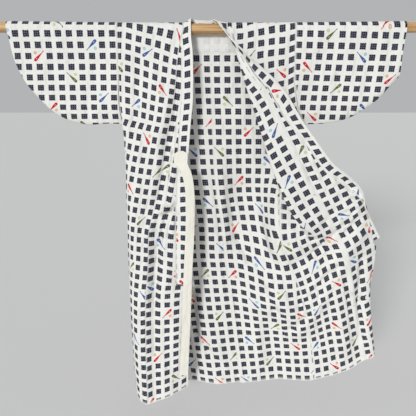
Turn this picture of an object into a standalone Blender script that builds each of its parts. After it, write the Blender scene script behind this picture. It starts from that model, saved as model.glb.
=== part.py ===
"""A child's cotton yukata robe hung on a round wooden rod.

Sizes are in millimetres here and become metres in the solids. X runs to the
viewer's right along the rod, Y away from the viewer, Z up. The origin is on
the rod's axis, halfway along it.
"""
import math

import bmesh
import bpy
from mathutils import Vector

MM = 0.001
SEAM_GAP = 0.3

# The rod
ROD_RADIUS = 12.5
ROD_HALF_LENGTH = 600.0
ROD_BOW = 4.0
ROD_BOW_AT = 505.0
ROD_SIDES = 24
ROD_RINGS = 16

# The cloth
CLOTH = 1.5
COLLAR_CLOTH = 2.4
TIE_CLOTH = 1.6
PATCH_CLOTH = 1.0
OVER_ROD = 14.2
COLLAR_SEAM_GAP = 0.45
TIE_LIFT_RIGHT = 1.0
TIE_LIFT_LEFT = 0.3
ARMHOLE = 228.0
OKUMI_TIP_RIGHT = 30.0
OKUMI_TIP_LEFT = 140.0

# Sleeves
SLEEVE_SEAM = 0.9
SLEEVE_GAP = 9.0
SLEEVE_COLUMNS = 9

# The tables below give lines of the robe as it hangs. Each row is a drop down
# the cloth from the height of the rod's axis, then the place x, y, z.

CENTRE_BACK = [
    (0, 7, 14.2, 0),
    (60, 7, 15, -60),
    (230, 12, 16, -230),
    (330, 16, 18, -330),
    (420, 25, 20, -420),
    (500, 37, 22, -499),
    (600, 48, 22, -598),
    (800, 73, 18, -796),
    (993, 99, 14, -988),
]

# The wearer's right side, at the viewer's left
ARMHOLE_BACK_RIGHT = [
    (0, -220, 14.2, 0),
    (180, -221, 14, -180),
    (228, -216, 1.2, -228),
]
SIDE_RIGHT = [
    (228, -216, 1.2, -228),
    (270, -211, 9, -270),
    (330, -206, 14, -330),
    (420, -198, 17, -420),
    (500, -190, 18, -500),
    (700, -165, 18, -698),
    (850, -147, 16, -847),
    (993, -129, 14, -989),
]
FRONT_SIDE_RIGHT = [
    (0, -220, -14.2, 0),
    (180, -221, -14, -180),
    (228, -216, 1.2, -228),
    (270, -211, 9, -270),
    (330, -206, 14, -330),
    (420, -198, 17, -420),
    (500, -190, 18, -500),
    (700, -165, 18, -698),
    (850, -147, 16, -847),
    (993, -129, 14, -989),
]
ROLL_BACK_RIGHT = [
    (0, -200, -14.2, 0),
    (180, -207, -15, -183),
    (228, -217, -8, -229),
    (270, -215, 1, -271),
    (330, -214, 4, -331),
    (420, -212, 8, -421),
    (500, -208, 12, -501),
    (700, -203, 13, -699),
    (850, -199, 12, -849),
    (993, -192, 11, -992),
]
SILHOUETTE_RIGHT = [
    (0, -180, -14.2, 0),
    (180, -188, -16, -186),
    (228, -208, -17, -232),
    (270, -212, -10, -273),
    (330, -213, -10, -333),
    (500, -215, -12, -502),
    (700, -216, -14, -701),
    (850, -213, -17, -852),
    (993, -207, -19, -995),
]
ROLL_FRONT_RIGHT = [
    (0, -150, -14.2, 0),
    (180, -160, -18, -193),
    (228, -182, -21, -237),
    (270, -194, -24, -279),
    (330, -202, -28, -338),
    (500, -197, -39, -504),
    (700, -197, -45, -703),
    (850, -196, -49, -856),
    (993, -192, -53, -1001),
]
MIDDLE_RIGHT = [
    (0, -110, -14.2, 0),
    (50, -114, -17, -62),
    (180, -125, -25, -201),
    (228, -138, -27, -246),
    (330, -162, -31, -346),
    (500, -176, -38, -508),
    (700, -183, -46, -706),
    (850, -185, -50, -861),
    (993, -182, -56, -1009),
]
OKUMI_SEAM_RIGHT = [
    (0, -60, -14.2, 0),
    (30, -70, -17, -45),
    (60, -75, -20, -80),
    (100, -79, -24, -122),
    (180, -92, -28, -204),
    (228, -103, -30, -252),
    (330, -121, -31, -350),
    (420, -138, -32, -437),
    (500, -156, -34, -512),
    (600, -161, -39, -608),
    (700, -170, -45, -705),
    (850, -173, -51, -860),
    (993, -172, -58, -1011),
]
OKUMI_MIDDLE_RIGHT = [
    (30, -67, -17.5, -46),
    (84, -71, -23, -106),
    (180, -82, -29, -206),
    (330, -100, -36, -353),
    (500, -123, -42, -516),
    (660, -118, -46, -664),
    (850, -117, -48, -850),
    (993, -112, -52, -990),
]
OKUMI_EDGE_RIGHT = [
    (30, -63.5, -18, -47),
    (84, -64, -22.5, -108),
    (180, -69, -27, -208),
    (330, -79, -32, -356),
    (500, -86, -36, -519),
    (646, -86, -38, -655),
    (652, -53, -38, -658),
    (800, -54, -36, -790),
    (993, -57, -32, -968),
]

# The wearer's left side, at the viewer's right
ARMHOLE_BACK_LEFT = [
    (0, 211, 14.2, 0),
    (110, 212, 14, -110),
    (180, 223, 13, -180),
    (228, 241, 3, -229),
]
SIDE_LEFT = [
    (228, 241, 3, -229),
    (300, 221, 10, -298),
    (350, 206, 6, -350),
    (400, 192, 0, -396),
    (450, 189, -8, -444),
    (500, 191, -12, -491),
    (568, 202, -12, -559),
    (600, 215, -10, -588),
    (648, 235, -6, -632),
    (700, 254, -2, -680),
    (813, 284, 4, -789),
    (931, 308, 8, -908),
    (993, 317, 10, -976),
]
FRONT_SIDE_LEFT = [
    (0, 211, -14.2, 0),
    (110, 212, -16, -110),
    (180, 223, -15, -180),
    (228, 241, 3, -229),
] + SIDE_LEFT[1:]
BACK_FOLD_LEFT = [
    (0, 182, -14.2, 0),
    (110, 196, -17, -114),
    (180, 212, -16, -184),
    (228, 239, -5, -232),
    (300, 238, 2, -301),
    (400, 232, -6, -402),
    (450, 240, -12, -452),
    (500, 250, -16, -492),
    (560, 256, -14, -538),
    (620, 266, -12, -594),
    (700, 296, -8, -664),
    (813, 330, -2, -770),
    (993, 372, 6, -958),
]
FRONT_FOLD_LEFT = [
    (0, 64, -14.2, 0),
    (25, 63, -17.5, -26),
    (50, 68, -23, -55),
    (100, 87, -30, -118),
    (228, 133, -36, -250),
    (300, 155, -39, -318),
    (400, 192, -41, -408),
    (450, 216, -40, -453),
    (500, 250, -38, -494),
    (560, 292, -26, -527),
    (620, 312, -20, -570),
    (700, 334, -12, -650),
    (813, 370, -6, -760),
    (993, 412, 4, -940),
]
OKUMI_SEAM_LEFT = [
    (0, 47, -14.2, 0),
    (25, 58, -28, -30),
    (50, 81, -32, -60),
    (100, 113, -36, -108),
    (140, 139, -38, -139),
    (228, 182, -41, -217),
    (300, 216, -42, -279),
    (400, 264, -41, -367),
    (500, 312, -36, -455),
    (560, 341, -30, -506),
    (628, 372, -22, -567),
    (700, 392, -15, -637),
    (813, 421, -7, -746),
    (993, 462, 2, -906),
]
OKUMI_EDGE_LEFT = [
    (140, 144, -38, -138),
    (228, 191, -43, -213),
    (300, 241, -45, -270),
    (400, 300, -45, -346),
    (450, 345, -44, -379),
    (500, 385, -42, -408),
    (540, 403, -38, -430),
    (580, 416, -32, -464),
    (610, 429, -26, -500),
    (636, 440, -20.5, -535),
    (642, 442, -20, -541),
    (650, 451, -17, -549),
    (700, 455, -10, -600),
    (760, 461, -4, -662),
    (830, 470, 4, -734),
    (900, 480, 10, -803),
    (993, 493, 16, -882),
]
OKUMI_TURN_LEFT = [
    (140, 141, -38, -138.5),
    (228, 187, -42, -215),
    (300, 230, -45, -274),
    (400, 283, -46, -357),
    (450, 317, -46, -395),
    (500, 350, -43, -431),
    (580, 383, -35, -493),
    (640, 409, -25, -560),
    (700, 425, -15, -617),
    (760, 436, -7, -680),
    (900, 462, -3, -815),
    (993, 480, 1, -895),
]

# The back of the robe between its centre seam and the viewer's right side: how
# deep the cloth sinks away from the viewer a third and two thirds of the way
BACK_SAG_LEFT = [
    (0, 0, 0),
    (228, 2, 2),
    (330, 12, 10),
    (420, 26, 24),
    (500, 26, 28),
    (568, 14, 14),
    (648, 2, -4),
    (740, -10, -16),
    (850, -6, -8),
    (993, 0, 0),
]
BACK_SAG_RIGHT = [
    (0, 0, 0),
    (228, 2, 1),
    (420, 6, -3),
    (600, -4, 5),
    (800, 5, -6),
    (993, 8, -9),
]

# Broad folds: where each starts and ends on the front view (x, z), how far it
# stands toward the viewer, and half its width
FOLDS_FRONT_RIGHT = [
    (-80, -150, -92, -240, -9, 13),
    (-92, -240, -128, -450, -15, 14),
    (-128, -450, -150, -700, -12, 14),
    (-150, -700, -150, -980, -6, 16),
]
FOLDS_OPENED = [
    (120, -600, 262, -800, 13, 34),
    (262, -800, 312, -690, 14, 30),
    (312, -690, 392, -520, 12, 28),
    (250, -600, 372, -478, -10, 22),
    (352, -640, 386, -860, 7, 24),
    (180, -800, 204, -975, -8, 30),
    (410, -700, 440, -900, -8, 22),
]

# The collar's free edge, x y z, by how far down the seam it is. Zero is the
# front of the rod; the rod's back is 44.6 up, and the neck's middle lies beyond
COLLAR_EDGE_RIGHT = [
    (-111.6, 7, 17.6, 21),
    (-78, -27, 17.5, 22),
    (-50, -37, 15, 25),
    (-37, -38.5, 9, 26),
    (-22, -40, 0, 25),
    (-8, -41, -14, 15),
    (12, -41, -18, -12),
    (45, -37, -24, -56),
    (92, -36, -28, -112),
    (140, -37, -32, -164),
    (200, -43, -35, -226),
    (300, -50, -39, -326),
    (430, -51, -41, -448),
    (530, -51, -42, -550),
    (640, -51, -43, -649),
]
COLLAR_EDGE_LEFT = [
    (-84.6, 7, 17.6, 21),
    (-66, 10, 17.4, 23),
    (-50, 13, 12, 23),
    (-37, 16, 5, 21),
    (-22, 20, -4, 18),
    (-8, 26, -17, 9),
    (12, 35, -26, -2),
    (25, 45, -37, -15),
    (38, 62, -43, -33),
    (50, 83, -46, -52),
    (90, 121, -48, -85),
    (136, 156, -48, -115),
    (190, 190, -48, -152),
    (240, 229, -49, -214),
    (290, 261, -49, -257),
    (340, 288, -49, -292),
    (390, 314, -49, -323),
    (430, 351, -50, -351),
    (470, 381, -52, -379),
    (500, 394, -53, -399),
    (540, 400, -52, -430),
    (580, 417, -40, -458),
    (610, 438, -29, -491),
    (636, 458, -20, -525),
]

# Ties: each is sewn flat on the collar at these drops, then hangs through these
# places x, y, z with this width
TIE_SEWN_RIGHT = [276, 286, 296]
TIE_RIGHT = [
    (-61, -42.5, -334, 28),
    (-52, -44.5, -356, 25),
    (-46, -45, -400, 23),
    (-47, -46.5, -500, 23),
    (-53, -47, -610, 23),
    (-58, -48, -730, 23),
    (-64, -47, -850, 23),
    (-68, -44, -925, 23),
]
TIE_SEWN_LEFT = [276, 286, 296]
TIE_LEFT = [
    (262, -40, -300, 23),
    (266, -31, -400, 23),
    (270, -2, -500, 23),
    (272, 14, -600, 23),
    (273, 20, -720, 23),
    (274, 24, -880, 23),
]

# Sleeve outline: x outward from the body seam, z of the lower edge there
SLEEVE_LOW_RIGHT = [
    (-221.5, -227),
    (-255, -226),
    (-300, -229),
    (-344, -221),
    (-388, -199),
    (-429, -158),
    (-460, -116),
    (-472, -82),
]
SLEEVE_LOW_LEFT = [
    (242, -228),
    (281, -227),
    (319, -223),
    (356, -213),
    (395, -191),
    (430, -163),
    (458, -130),
    (474, -112),
]
CUFF_RIGHT = [(15, -487), (5, -486), (-29, -482), (-56, -478), (-82, -472)]
CUFF_LEFT = [(15, 479), (-3, 478), (-33, 477), (-66, 475), (-112, 474)]

# Drops of the cloth grid's rows
BODY_ROWS = [
    0, 12, 25, 38, 50, 75, 100, 132, 165, 200, 228, 250, 275, 300, 332, 366, 400, 425,
    450, 475, 500, 530, 560, 590, 620, 655, 690, 730, 770, 810, 850, 900, 950, 993,
]
OVER_ROD_TURNS = [67.5, 45, 22.5, 0, -22.5, -45, -67.5]

CLOTH_COLOUR = (0.80, 0.78, 0.74, 1.0)
WOOD_COLOUR = (0.45, 0.24, 0.07, 1.0)
PLAIN_COLOUR = (0.87, 0.86, 0.80, 1.0)


def rise(low, high, value):
    """Go smoothly from 0 at low to 1 at high."""
    share = min(1.0, max(0.0, (value - low) / (high - low)))
    return share * share * (3 - 2 * share)


def bend(keys, values, key):
    """Read a smooth curve through the given keys without overshoot."""
    if key <= keys[0]:
        return values[0]
    if key >= keys[-1]:
        return values[-1]
    steps = [b - a for a, b in zip(keys, keys[1:])]
    slopes = [(b - a) / s for a, b, s in zip(values, values[1:], steps)]
    tangents = [slopes[0]]
    for before, after in zip(slopes, slopes[1:]):
        if before * after <= 0:
            tangents.append(0.0)
        else:
            tangents.append(2 * before * after / (before + after))
    tangents.append(slopes[-1])
    at = 0
    while key > keys[at + 1]:
        at += 1
    step = steps[at]
    t = (key - keys[at]) / step
    a = values[at] * (1 + 2 * t) * (1 - t) ** 2
    b = values[at + 1] * t * t * (3 - 2 * t)
    c = step * tangents[at] * t * (1 - t) ** 2
    d = step * tangents[at + 1] * t * t * (t - 1)
    return a + b + c + d


def place(line, drop):
    """Give the point of a named line at a drop."""
    keys = [row[0] for row in line]
    return Vector([bend(keys, [row[i] for row in line], drop) for i in (1, 2, 3)])


def through(points, at):
    """Read a soft curve through points, one unit from each to the next."""
    last = len(points) - 1
    index = min(int(at), last - 1)
    share = at - index
    p1 = points[index]
    p2 = points[index + 1]
    if share < 1e-9:
        return p1.copy()
    if share > 1 - 1e-9:
        return p2.copy()
    p0 = points[index - 1] if index > 0 else p1 * 2 - p2
    p3 = points[index + 2] if index + 2 <= last else p2 * 2 - p1
    t0 = 0.0
    t1 = t0 + max(0.01, (p1 - p0).length) ** 0.5
    t2 = t1 + max(0.01, (p2 - p1).length) ** 0.5
    t3 = t2 + max(0.01, (p3 - p2).length) ** 0.5
    t = t1 + (t2 - t1) * share
    a1 = p0.lerp(p1, (t - t0) / (t1 - t0))
    a2 = p1.lerp(p2, share)
    a3 = p2.lerp(p3, (t - t2) / (t3 - t2))
    b1 = a1.lerp(a2, (t - t0) / (t2 - t0))
    b2 = a2.lerp(a3, (t - t1) / (t3 - t1))
    return b1.lerp(b2, share)


def fold_height(point, folds):
    """Say how far the broad folds stand toward the viewer at a point."""
    height = 0.0
    for x1, z1, x2, z2, stands, half in folds:
        span = Vector((x2 - x1, z2 - z1))
        off = Vector((point.x - x1, point.z - z1))
        share = min(1.0, max(0.0, off.dot(span) / span.length_squared))
        away = (off - span * share).length / half
        if away < 2.5:
            height = max(height, stands * math.exp(-away * away), key=abs)
    return height


def folded(point, folds, amount=1.0):
    """Move a point toward the viewer by the broad folds."""
    return point - Vector((0, fold_height(point, folds) * amount, 0))


# The body's halves

def back_right(share, drop):
    """Back half at the viewer's left: 0 at the side, 1 at the centre seam."""
    side = ARMHOLE_BACK_RIGHT if drop <= ARMHOLE else SIDE_RIGHT
    start = place(side, drop)
    end = place(CENTRE_BACK, drop)
    keys = [row[0] for row in BACK_SAG_RIGHT]
    sag = [bend(keys, [row[i] for row in BACK_SAG_RIGHT], drop) for i in (1, 2)]
    shut = rise(170, 228, drop)
    around = (start - place(ROLL_BACK_RIGHT, max(drop, ARMHOLE))).normalized()
    length = 11 + 6 * rise(228, 420, drop)
    near = start + Vector((1, 0, 0)).lerp(around, shut).normalized() * length
    flat = 14.5 + 3 * rise(228, 420, drop)
    points = [start, near]
    points.append(start.lerp(end, 0.36))
    points[-1].y = flat + sag[0]
    points.append(start.lerp(end, 0.68))
    points[-1].y = flat * 0.4 + end.y * 0.6 + sag[1]
    points += [end - centre_lean(drop) * 18, end]
    return by_share(points, share)


def back_left(share, drop):
    """Back half at the viewer's right: 0 at the side, 1 at the centre seam."""
    side = ARMHOLE_BACK_LEFT if drop <= ARMHOLE else SIDE_LEFT
    start = place(side, drop)
    end = place(CENTRE_BACK, drop)
    keys = [row[0] for row in BACK_SAG_LEFT]
    sag = [bend(keys, [row[i] for row in BACK_SAG_LEFT], drop) for i in (1, 2)]
    shut = rise(170, 228, drop)
    around = (start - front_left_line(max(drop, ARMHOLE))[1]).normalized()
    length = 10 + 5 * rise(228, 420, drop)
    near = start + Vector((-1, 0, 0)).lerp(around, shut).normalized() * length
    flat = 14.5 - 0.5 * rise(560, 993, drop)
    points = [start, near]
    points.append(start.lerp(end, 0.33))
    points[-1].y = flat + sag[1]
    points.append(start.lerp(end, 0.67))
    points[-1].y = flat * 0.4 + end.y * 0.6 + sag[0]
    points += [end + centre_lean(drop) * 18, end]
    point = by_share(points, share)
    return folded(point, FOLDS_OPENED, rise(560, 640, drop))


def centre_lean(drop):
    """Give the direction in which the back crosses its centre seam."""
    return Vector((1, 0.3 * rise(300, 450, drop) * (1 - rise(520, 660, drop)), 0))


def by_share(points, share):
    """Read a soft curve through points at a share of its straight length."""
    lengths = [(b - a).length for a, b in zip(points, points[1:])]
    want = share * sum(lengths)
    for index, length in enumerate(lengths):
        if want <= length or index == len(lengths) - 1:
            return through(points, index + min(1.0, want / length))
        want -= length
    return points[-1]


def front_right(column, drop):
    """Front at the viewer's left: 0 at the side, 5 at the okumi seam."""
    lines = [FRONT_SIDE_RIGHT, ROLL_BACK_RIGHT, SILHOUETTE_RIGHT]
    lines += [ROLL_FRONT_RIGHT, MIDDLE_RIGHT, OKUMI_SEAM_RIGHT]
    point = through([place(line, drop) for line in lines], column)
    return folded(point, FOLDS_FRONT_RIGHT, rise(2.2, 3.6, column))


def front_left_line(drop):
    """List the points of the folded front at one drop, side to okumi seam."""
    side = place(FRONT_SIDE_LEFT, drop)
    back_fold = place(BACK_FOLD_LEFT, drop)
    front_fold = place(FRONT_FOLD_LEFT, drop)
    seam = place(OKUMI_SEAM_LEFT, drop)
    deep = rise(215, 300, drop) * (1 - rise(470, 530, drop))
    turned = rise(10, 60, drop) * (1 - rise(500, 560, drop))
    g1 = side.lerp(back_fold, 0.5).lerp(back_fold + Vector((-6, 5.5, 0)), deep)
    g2 = back_fold.lerp(front_fold, 0.15)
    g2 = g2.lerp(back_fold + Vector((-6, -5, -1)), deep)
    f1 = back_fold.lerp(front_fold, 0.85)
    f1 = f1.lerp(front_fold + Vector((5, 5, 1)), turned)
    f2 = front_fold.lerp(seam, 0.2)
    f2 = f2.lerp(front_fold + Vector((3.5, -4.5, 1)), turned)
    points = [side, g1, back_fold, g2]
    points += [g2.lerp(f1, 1 / 3), g2.lerp(f1, 2 / 3)]
    points += [f1, front_fold, f2]
    points += [f2.lerp(seam, 1 / 3), f2.lerp(seam, 2 / 3), seam]
    return points


def front_left(column, drop):
    """Front at the viewer's right: 0 at the side, 11 at the okumi seam."""
    point = through(front_left_line(drop), column)
    return folded(point, FOLDS_OPENED, rise(520, 600, drop))


def okumi_right(share, drop):
    """Overlap strip at the viewer's left: 0 at its seam, 1 at its edge."""
    points = [place(OKUMI_SEAM_RIGHT, drop), place(OKUMI_MIDDLE_RIGHT, drop)]
    points.append(place(OKUMI_EDGE_RIGHT, drop))
    point = through(points, 2 * share)
    return folded(point, FOLDS_FRONT_RIGHT, 1 - share ** 3)


def okumi_left(share, drop):
    """Overlap strip at the viewer's right: 0 at its seam, 1 at its edge."""
    points = [place(OKUMI_SEAM_LEFT, drop), place(OKUMI_TURN_LEFT, drop)]
    points.append(place(OKUMI_EDGE_LEFT, drop))
    point = through(points, 2 * share)
    point = folded(point, FOLDS_OPENED, rise(520, 600, drop) * (1 - share ** 3))
    if drop > 662:
        behind = rise(662, 993, drop)
        tuck = Vector((-22, 52, 4)) * behind * rise(0.72, 1.0, share)
        point += tuck
    return point


# Solids

def solid(name, points, faces, thickness, colour):
    """Give a sheet of faces its cloth thickness and make it one closed body."""
    sheet = bmesh.new()
    verts = [sheet.verts.new(p) for p in points]
    for face in faces:
        sheet.faces.new([verts[i] for i in face])
    sheet.normal_update()
    sheet.verts.index_update()
    half = thickness / 2
    upper = [v.co + v.normal * half for v in sheet.verts]
    lower = [v.co - v.normal * half for v in sheet.verts]
    rims = []
    for edge in sheet.edges:
        if len(edge.link_faces) == 1:
            loop = [lp for lp in edge.link_faces[0].loops if lp.edge == edge][0]
            rims.append((loop.vert.index, loop.link_loop_next.vert.index))
    body = bmesh.new()
    top = [body.verts.new(p * MM) for p in upper]
    under = [body.verts.new(p * MM) for p in lower]
    for face in faces:
        body.faces.new([top[i] for i in face])
        body.faces.new([under[i] for i in reversed(face)])
    for a, b in rims:
        body.faces.new([top[b], top[a], under[a], under[b]])
    sheet.free()
    finish(name, body, colour)


def finish(name, body, colour):
    """Make a named object with its own plain material."""
    bmesh.ops.triangulate(body, faces=body.faces[:])
    bmesh.ops.recalc_face_normals(body, faces=body.faces[:])
    mesh = bpy.data.meshes.new(name)
    body.to_mesh(mesh)
    body.free()
    thing = bpy.data.objects.new(name, mesh)
    bpy.context.scene.collection.objects.link(thing)
    material = bpy.data.materials.new(name + "_material")
    material.use_nodes = True
    shader = material.node_tree.nodes["Principled BSDF"]
    shader.inputs["Base Color"].default_value = colour
    shader.inputs["Roughness"].default_value = 0.9
    material.diffuse_color = colour
    mesh.materials.append(material)


def grid(rows):
    """Turn rows of points into a list of points and its faces."""
    points = [p for row in rows for p in row]
    wide = len(rows[0])
    faces = []
    for r in range(len(rows) - 1):
        for c in range(wide - 1):
            at = r * wide + c
            faces.append((at, at + 1, at + wide + 1, at + wide))
    return points, faces


def pull_in(row, start, end, gap=SEAM_GAP / 2):
    """Shorten a row of points by half a seam gap at its ends."""
    row = [p.copy() for p in row]
    if start:
        row[0] += (row[1] - row[0]).normalized() * gap
    if end:
        row[-1] += (row[-2] - row[-1]).normalized() * gap
    return row


def side_gap(drop):
    """Give half the side seam's gap, wider at the foot of the armhole."""
    return SEAM_GAP / 2 + 0.7 * (1 - rise(ARMHOLE, 290, drop))


def bow(x):
    """Say how much higher the rod is here than at its middle."""
    return ROD_BOW * (x / ROD_BOW_AT) ** 2


def body_half(name, back, front, front_columns, neck_columns):
    """Make one half of the body, one cloth over the shoulder from hem to hem."""
    top_front = [front(c, 0) for c in front_columns]
    shoulder = [p.x for p in top_front]
    centre_x = place(CENTRE_BACK, 0).x
    span = centre_x - shoulder[0]
    wide = len(front_columns)
    count = wide + neck_columns - 1
    neck_share = (shoulder[-1] - shoulder[0]) / span
    shares_top = [(x - shoulder[0]) / span for x in shoulder]
    for i in range(1, neck_columns + 1):
        shares_top.append(neck_share + (1 - neck_share) * i / neck_columns)
    shares_low = [0] + [0.05 + 0.95 * i / (count - 1) for i in range(count)]
    points = []
    faces = []

    def add(row):
        base = len(points)
        points.extend(row)
        return list(range(base, base + len(row)))

    def join(upper, lower):
        for c in range(min(len(upper), len(lower)) - 1):
            faces.append((upper[c], lower[c], lower[c + 1], upper[c + 1]))

    previous = None
    for drop in reversed(BODY_ROWS):
        mix = rise(0, 100, drop)
        shares = [a + (b - a) * mix for a, b in zip(shares_top, shares_low)]
        row = [back(s, drop) for s in shares]
        row = pull_in(row, drop >= ARMHOLE, False, side_gap(drop))
        row = pull_in(row, False, True)
        if drop == 0:
            row = [Vector((p.x, OVER_ROD, bow(p.x))) for p in row]
        ids = add(row)
        if previous:
            join(ids, previous)
        previous = ids
    for turn in OVER_ROD_TURNS:
        angle = math.radians(turn)
        row = [
            Vector((x, OVER_ROD * math.sin(angle), OVER_ROD * math.cos(angle) + bow(x)))
            for x in shoulder
        ]
        ids = add(row)
        join(ids, previous)
        previous = ids
    for drop in BODY_ROWS:
        row = [front(c, drop) for c in front_columns]
        row = pull_in(row, drop >= ARMHOLE, False, side_gap(drop))
        row = pull_in(row, False, drop > 20)
        if drop == 0:
            row = [Vector((p.x, -OVER_ROD, bow(p.x))) for p in row]
        ids = add(row)
        join(ids, previous)
        previous = ids
    solid(name, points, faces, CLOTH, CLOTH_COLOUR)


def okumi(name, surface, tip, columns):
    """Make one overlap strip from its tip down to the hem."""
    rows = []
    drops = [d for d in BODY_ROWS if d > tip + 8]
    extra = [636, 642, 650] if name == "okumi_left" else [640, 646, 652]
    drops = sorted(set([tip] + [d for d in drops if d != 655] + extra))
    for drop in drops:
        row = [surface(i / columns, drop) for i in range(columns + 1)]
        rows.append(pull_in(row, True, False))
    points, faces = grid(rows)
    solid(name, points, faces, CLOTH, CLOTH_COLOUR)


def collar_row(rim, inner, edges, key, gap=COLLAR_SEAM_GAP):
    """Lay one row of the collar from just off a panel's rim to its free edge."""
    along = (rim - inner).normalized()
    seam = rim + along * gap
    edge = place(edges, key)
    first = seam + along * min(3.0, (edge - seam).length * 0.2)
    return [seam, first, first.lerp(edge, 0.5), edge]


def collar_side(front, okumi_surface, tip, edges, low_end, wide_gap):
    """List the collar's rows from the neck's middle down one front."""
    corner = front(1.0, 0)
    middle_x = place(CENTRE_BACK, 0).x
    wide = corner.x - middle_x
    rows = []
    for share in (0, 0.33, 0.66, 0.9):
        x = middle_x + wide * share
        rim = Vector((x, OVER_ROD, 0))
        key = -44.6 - abs(wide) * (1 - share)
        rows.append(collar_row(rim, rim - Vector((0, 0, 5)), edges, key))
    toward = Vector((math.copysign(5, wide), 0, 0))
    for turn in OVER_ROD_TURNS:
        angle = math.radians(turn)
        rim = Vector((corner.x, OVER_ROD * math.sin(angle), OVER_ROD * math.cos(angle)))
        key = -OVER_ROD * math.radians(turn + 90)
        rows.append(collar_row(rim, rim + toward, edges, key))
    drops = [d for d in BODY_ROWS if d < tip]
    for drop in drops:
        rim = front(1.0, drop)
        gap = COLLAR_SEAM_GAP + wide_gap * rise(12, 38, drop)
        rows.append(collar_row(rim, front(0.97, drop), edges, drop, gap))
    drops = [tip] + [d for d in BODY_ROWS if tip + 8 < d < low_end] + [low_end]
    for drop in drops:
        gap = COLLAR_SEAM_GAP + wide_gap * (1 - rise(tip, 240, drop))
        rim = okumi_surface(1.0, drop)
        inner = okumi_surface(0.95, drop)
        if (rim - inner).length < 2:
            inner = front(0.97, drop)
        rows.append(collar_row(rim, inner, edges, drop, gap))
    return rows


def collar():
    """Make the collar band from one front over the neck to the other."""
    right = collar_side(
        lambda s, d: front_right(5 * s, d), okumi_right, OKUMI_TIP_RIGHT,
        COLLAR_EDGE_RIGHT, 640, 0)
    left = collar_side(
        lambda s, d: front_left(11 * s, d), okumi_left, OKUMI_TIP_LEFT,
        COLLAR_EDGE_LEFT, 636, 1.4)
    points, faces = grid(list(reversed(right)) + left[1:])
    solid("collar", points, faces, COLLAR_CLOTH, CLOTH_COLOUR)


def tie_seat(okumi_surface, edges, drop, side, gap):
    """Lay one row of a tie flat on the collar's outer face."""
    def band(d):
        row = collar_row(okumi_surface(1.0, d), okumi_surface(0.95, d), edges, d)
        return row[1], row[3]
    seam, edge = band(drop)
    above = band(drop - 4)[0]
    across = (edge - seam).normalized()
    out = (seam - above).normalized().cross(across).normalized() * side
    lift = out * ((COLLAR_CLOTH + TIE_CLOTH) / 2 + gap)
    return [seam.lerp(edge, share) + lift for share in (0.14, 0.57, 1.0)]


def tie(name, seats, table):
    """Make one flat strip tie, sewn at its top and hanging free."""
    rows = [list(row) for row in seats]
    middles = [rows[-1][1]] + [Vector(r[:3]) for r in table]
    widths = [Vector(((rows[-1][2] - rows[-1][0]).length, 0, 0))]
    widths += [Vector((r[3], 0, 0)) for r in table]
    side = (rows[-1][2] - rows[-1][0]).normalized()
    steps = 2
    for i in range(1, (len(middles) - 1) * steps + 1):
        middle = through(middles, i / steps)
        half = through(widths, i / steps).x / 2
        across = side.lerp(Vector((1, 0, 0)), min(1.0, i / steps)).normalized()
        rows.append([middle + across * (x * half) for x in (-1, 0, 1)])
    points, faces = grid(rows)
    solid(name, points, faces, TIE_CLOTH, PLAIN_COLOUR)


def neck_patch():
    """Make the plain piece inside the back of the neck."""
    lift = (CLOTH + PATCH_CLOTH) / 2 + SEAM_GAP
    rows = []
    for drop in (4, 20, 36, 52):
        row = []
        for x in (-86, -60, -34, -8, 7, 22, 48, 74, 100):
            if x <= 7:
                edge = place(ARMHOLE_BACK_RIGHT, drop).x
                point = back_right((x - edge) / (7 - edge), drop)
            else:
                edge = place(ARMHOLE_BACK_LEFT, drop).x
                point = back_left((x - edge) / (7 - edge), drop)
            row.append(point - Vector((0, lift, 0)))
        rows.append(row)
    points, faces = grid(rows)
    solid("neck_patch", points, faces, PATCH_CLOTH, PLAIN_COLOUR)


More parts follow.
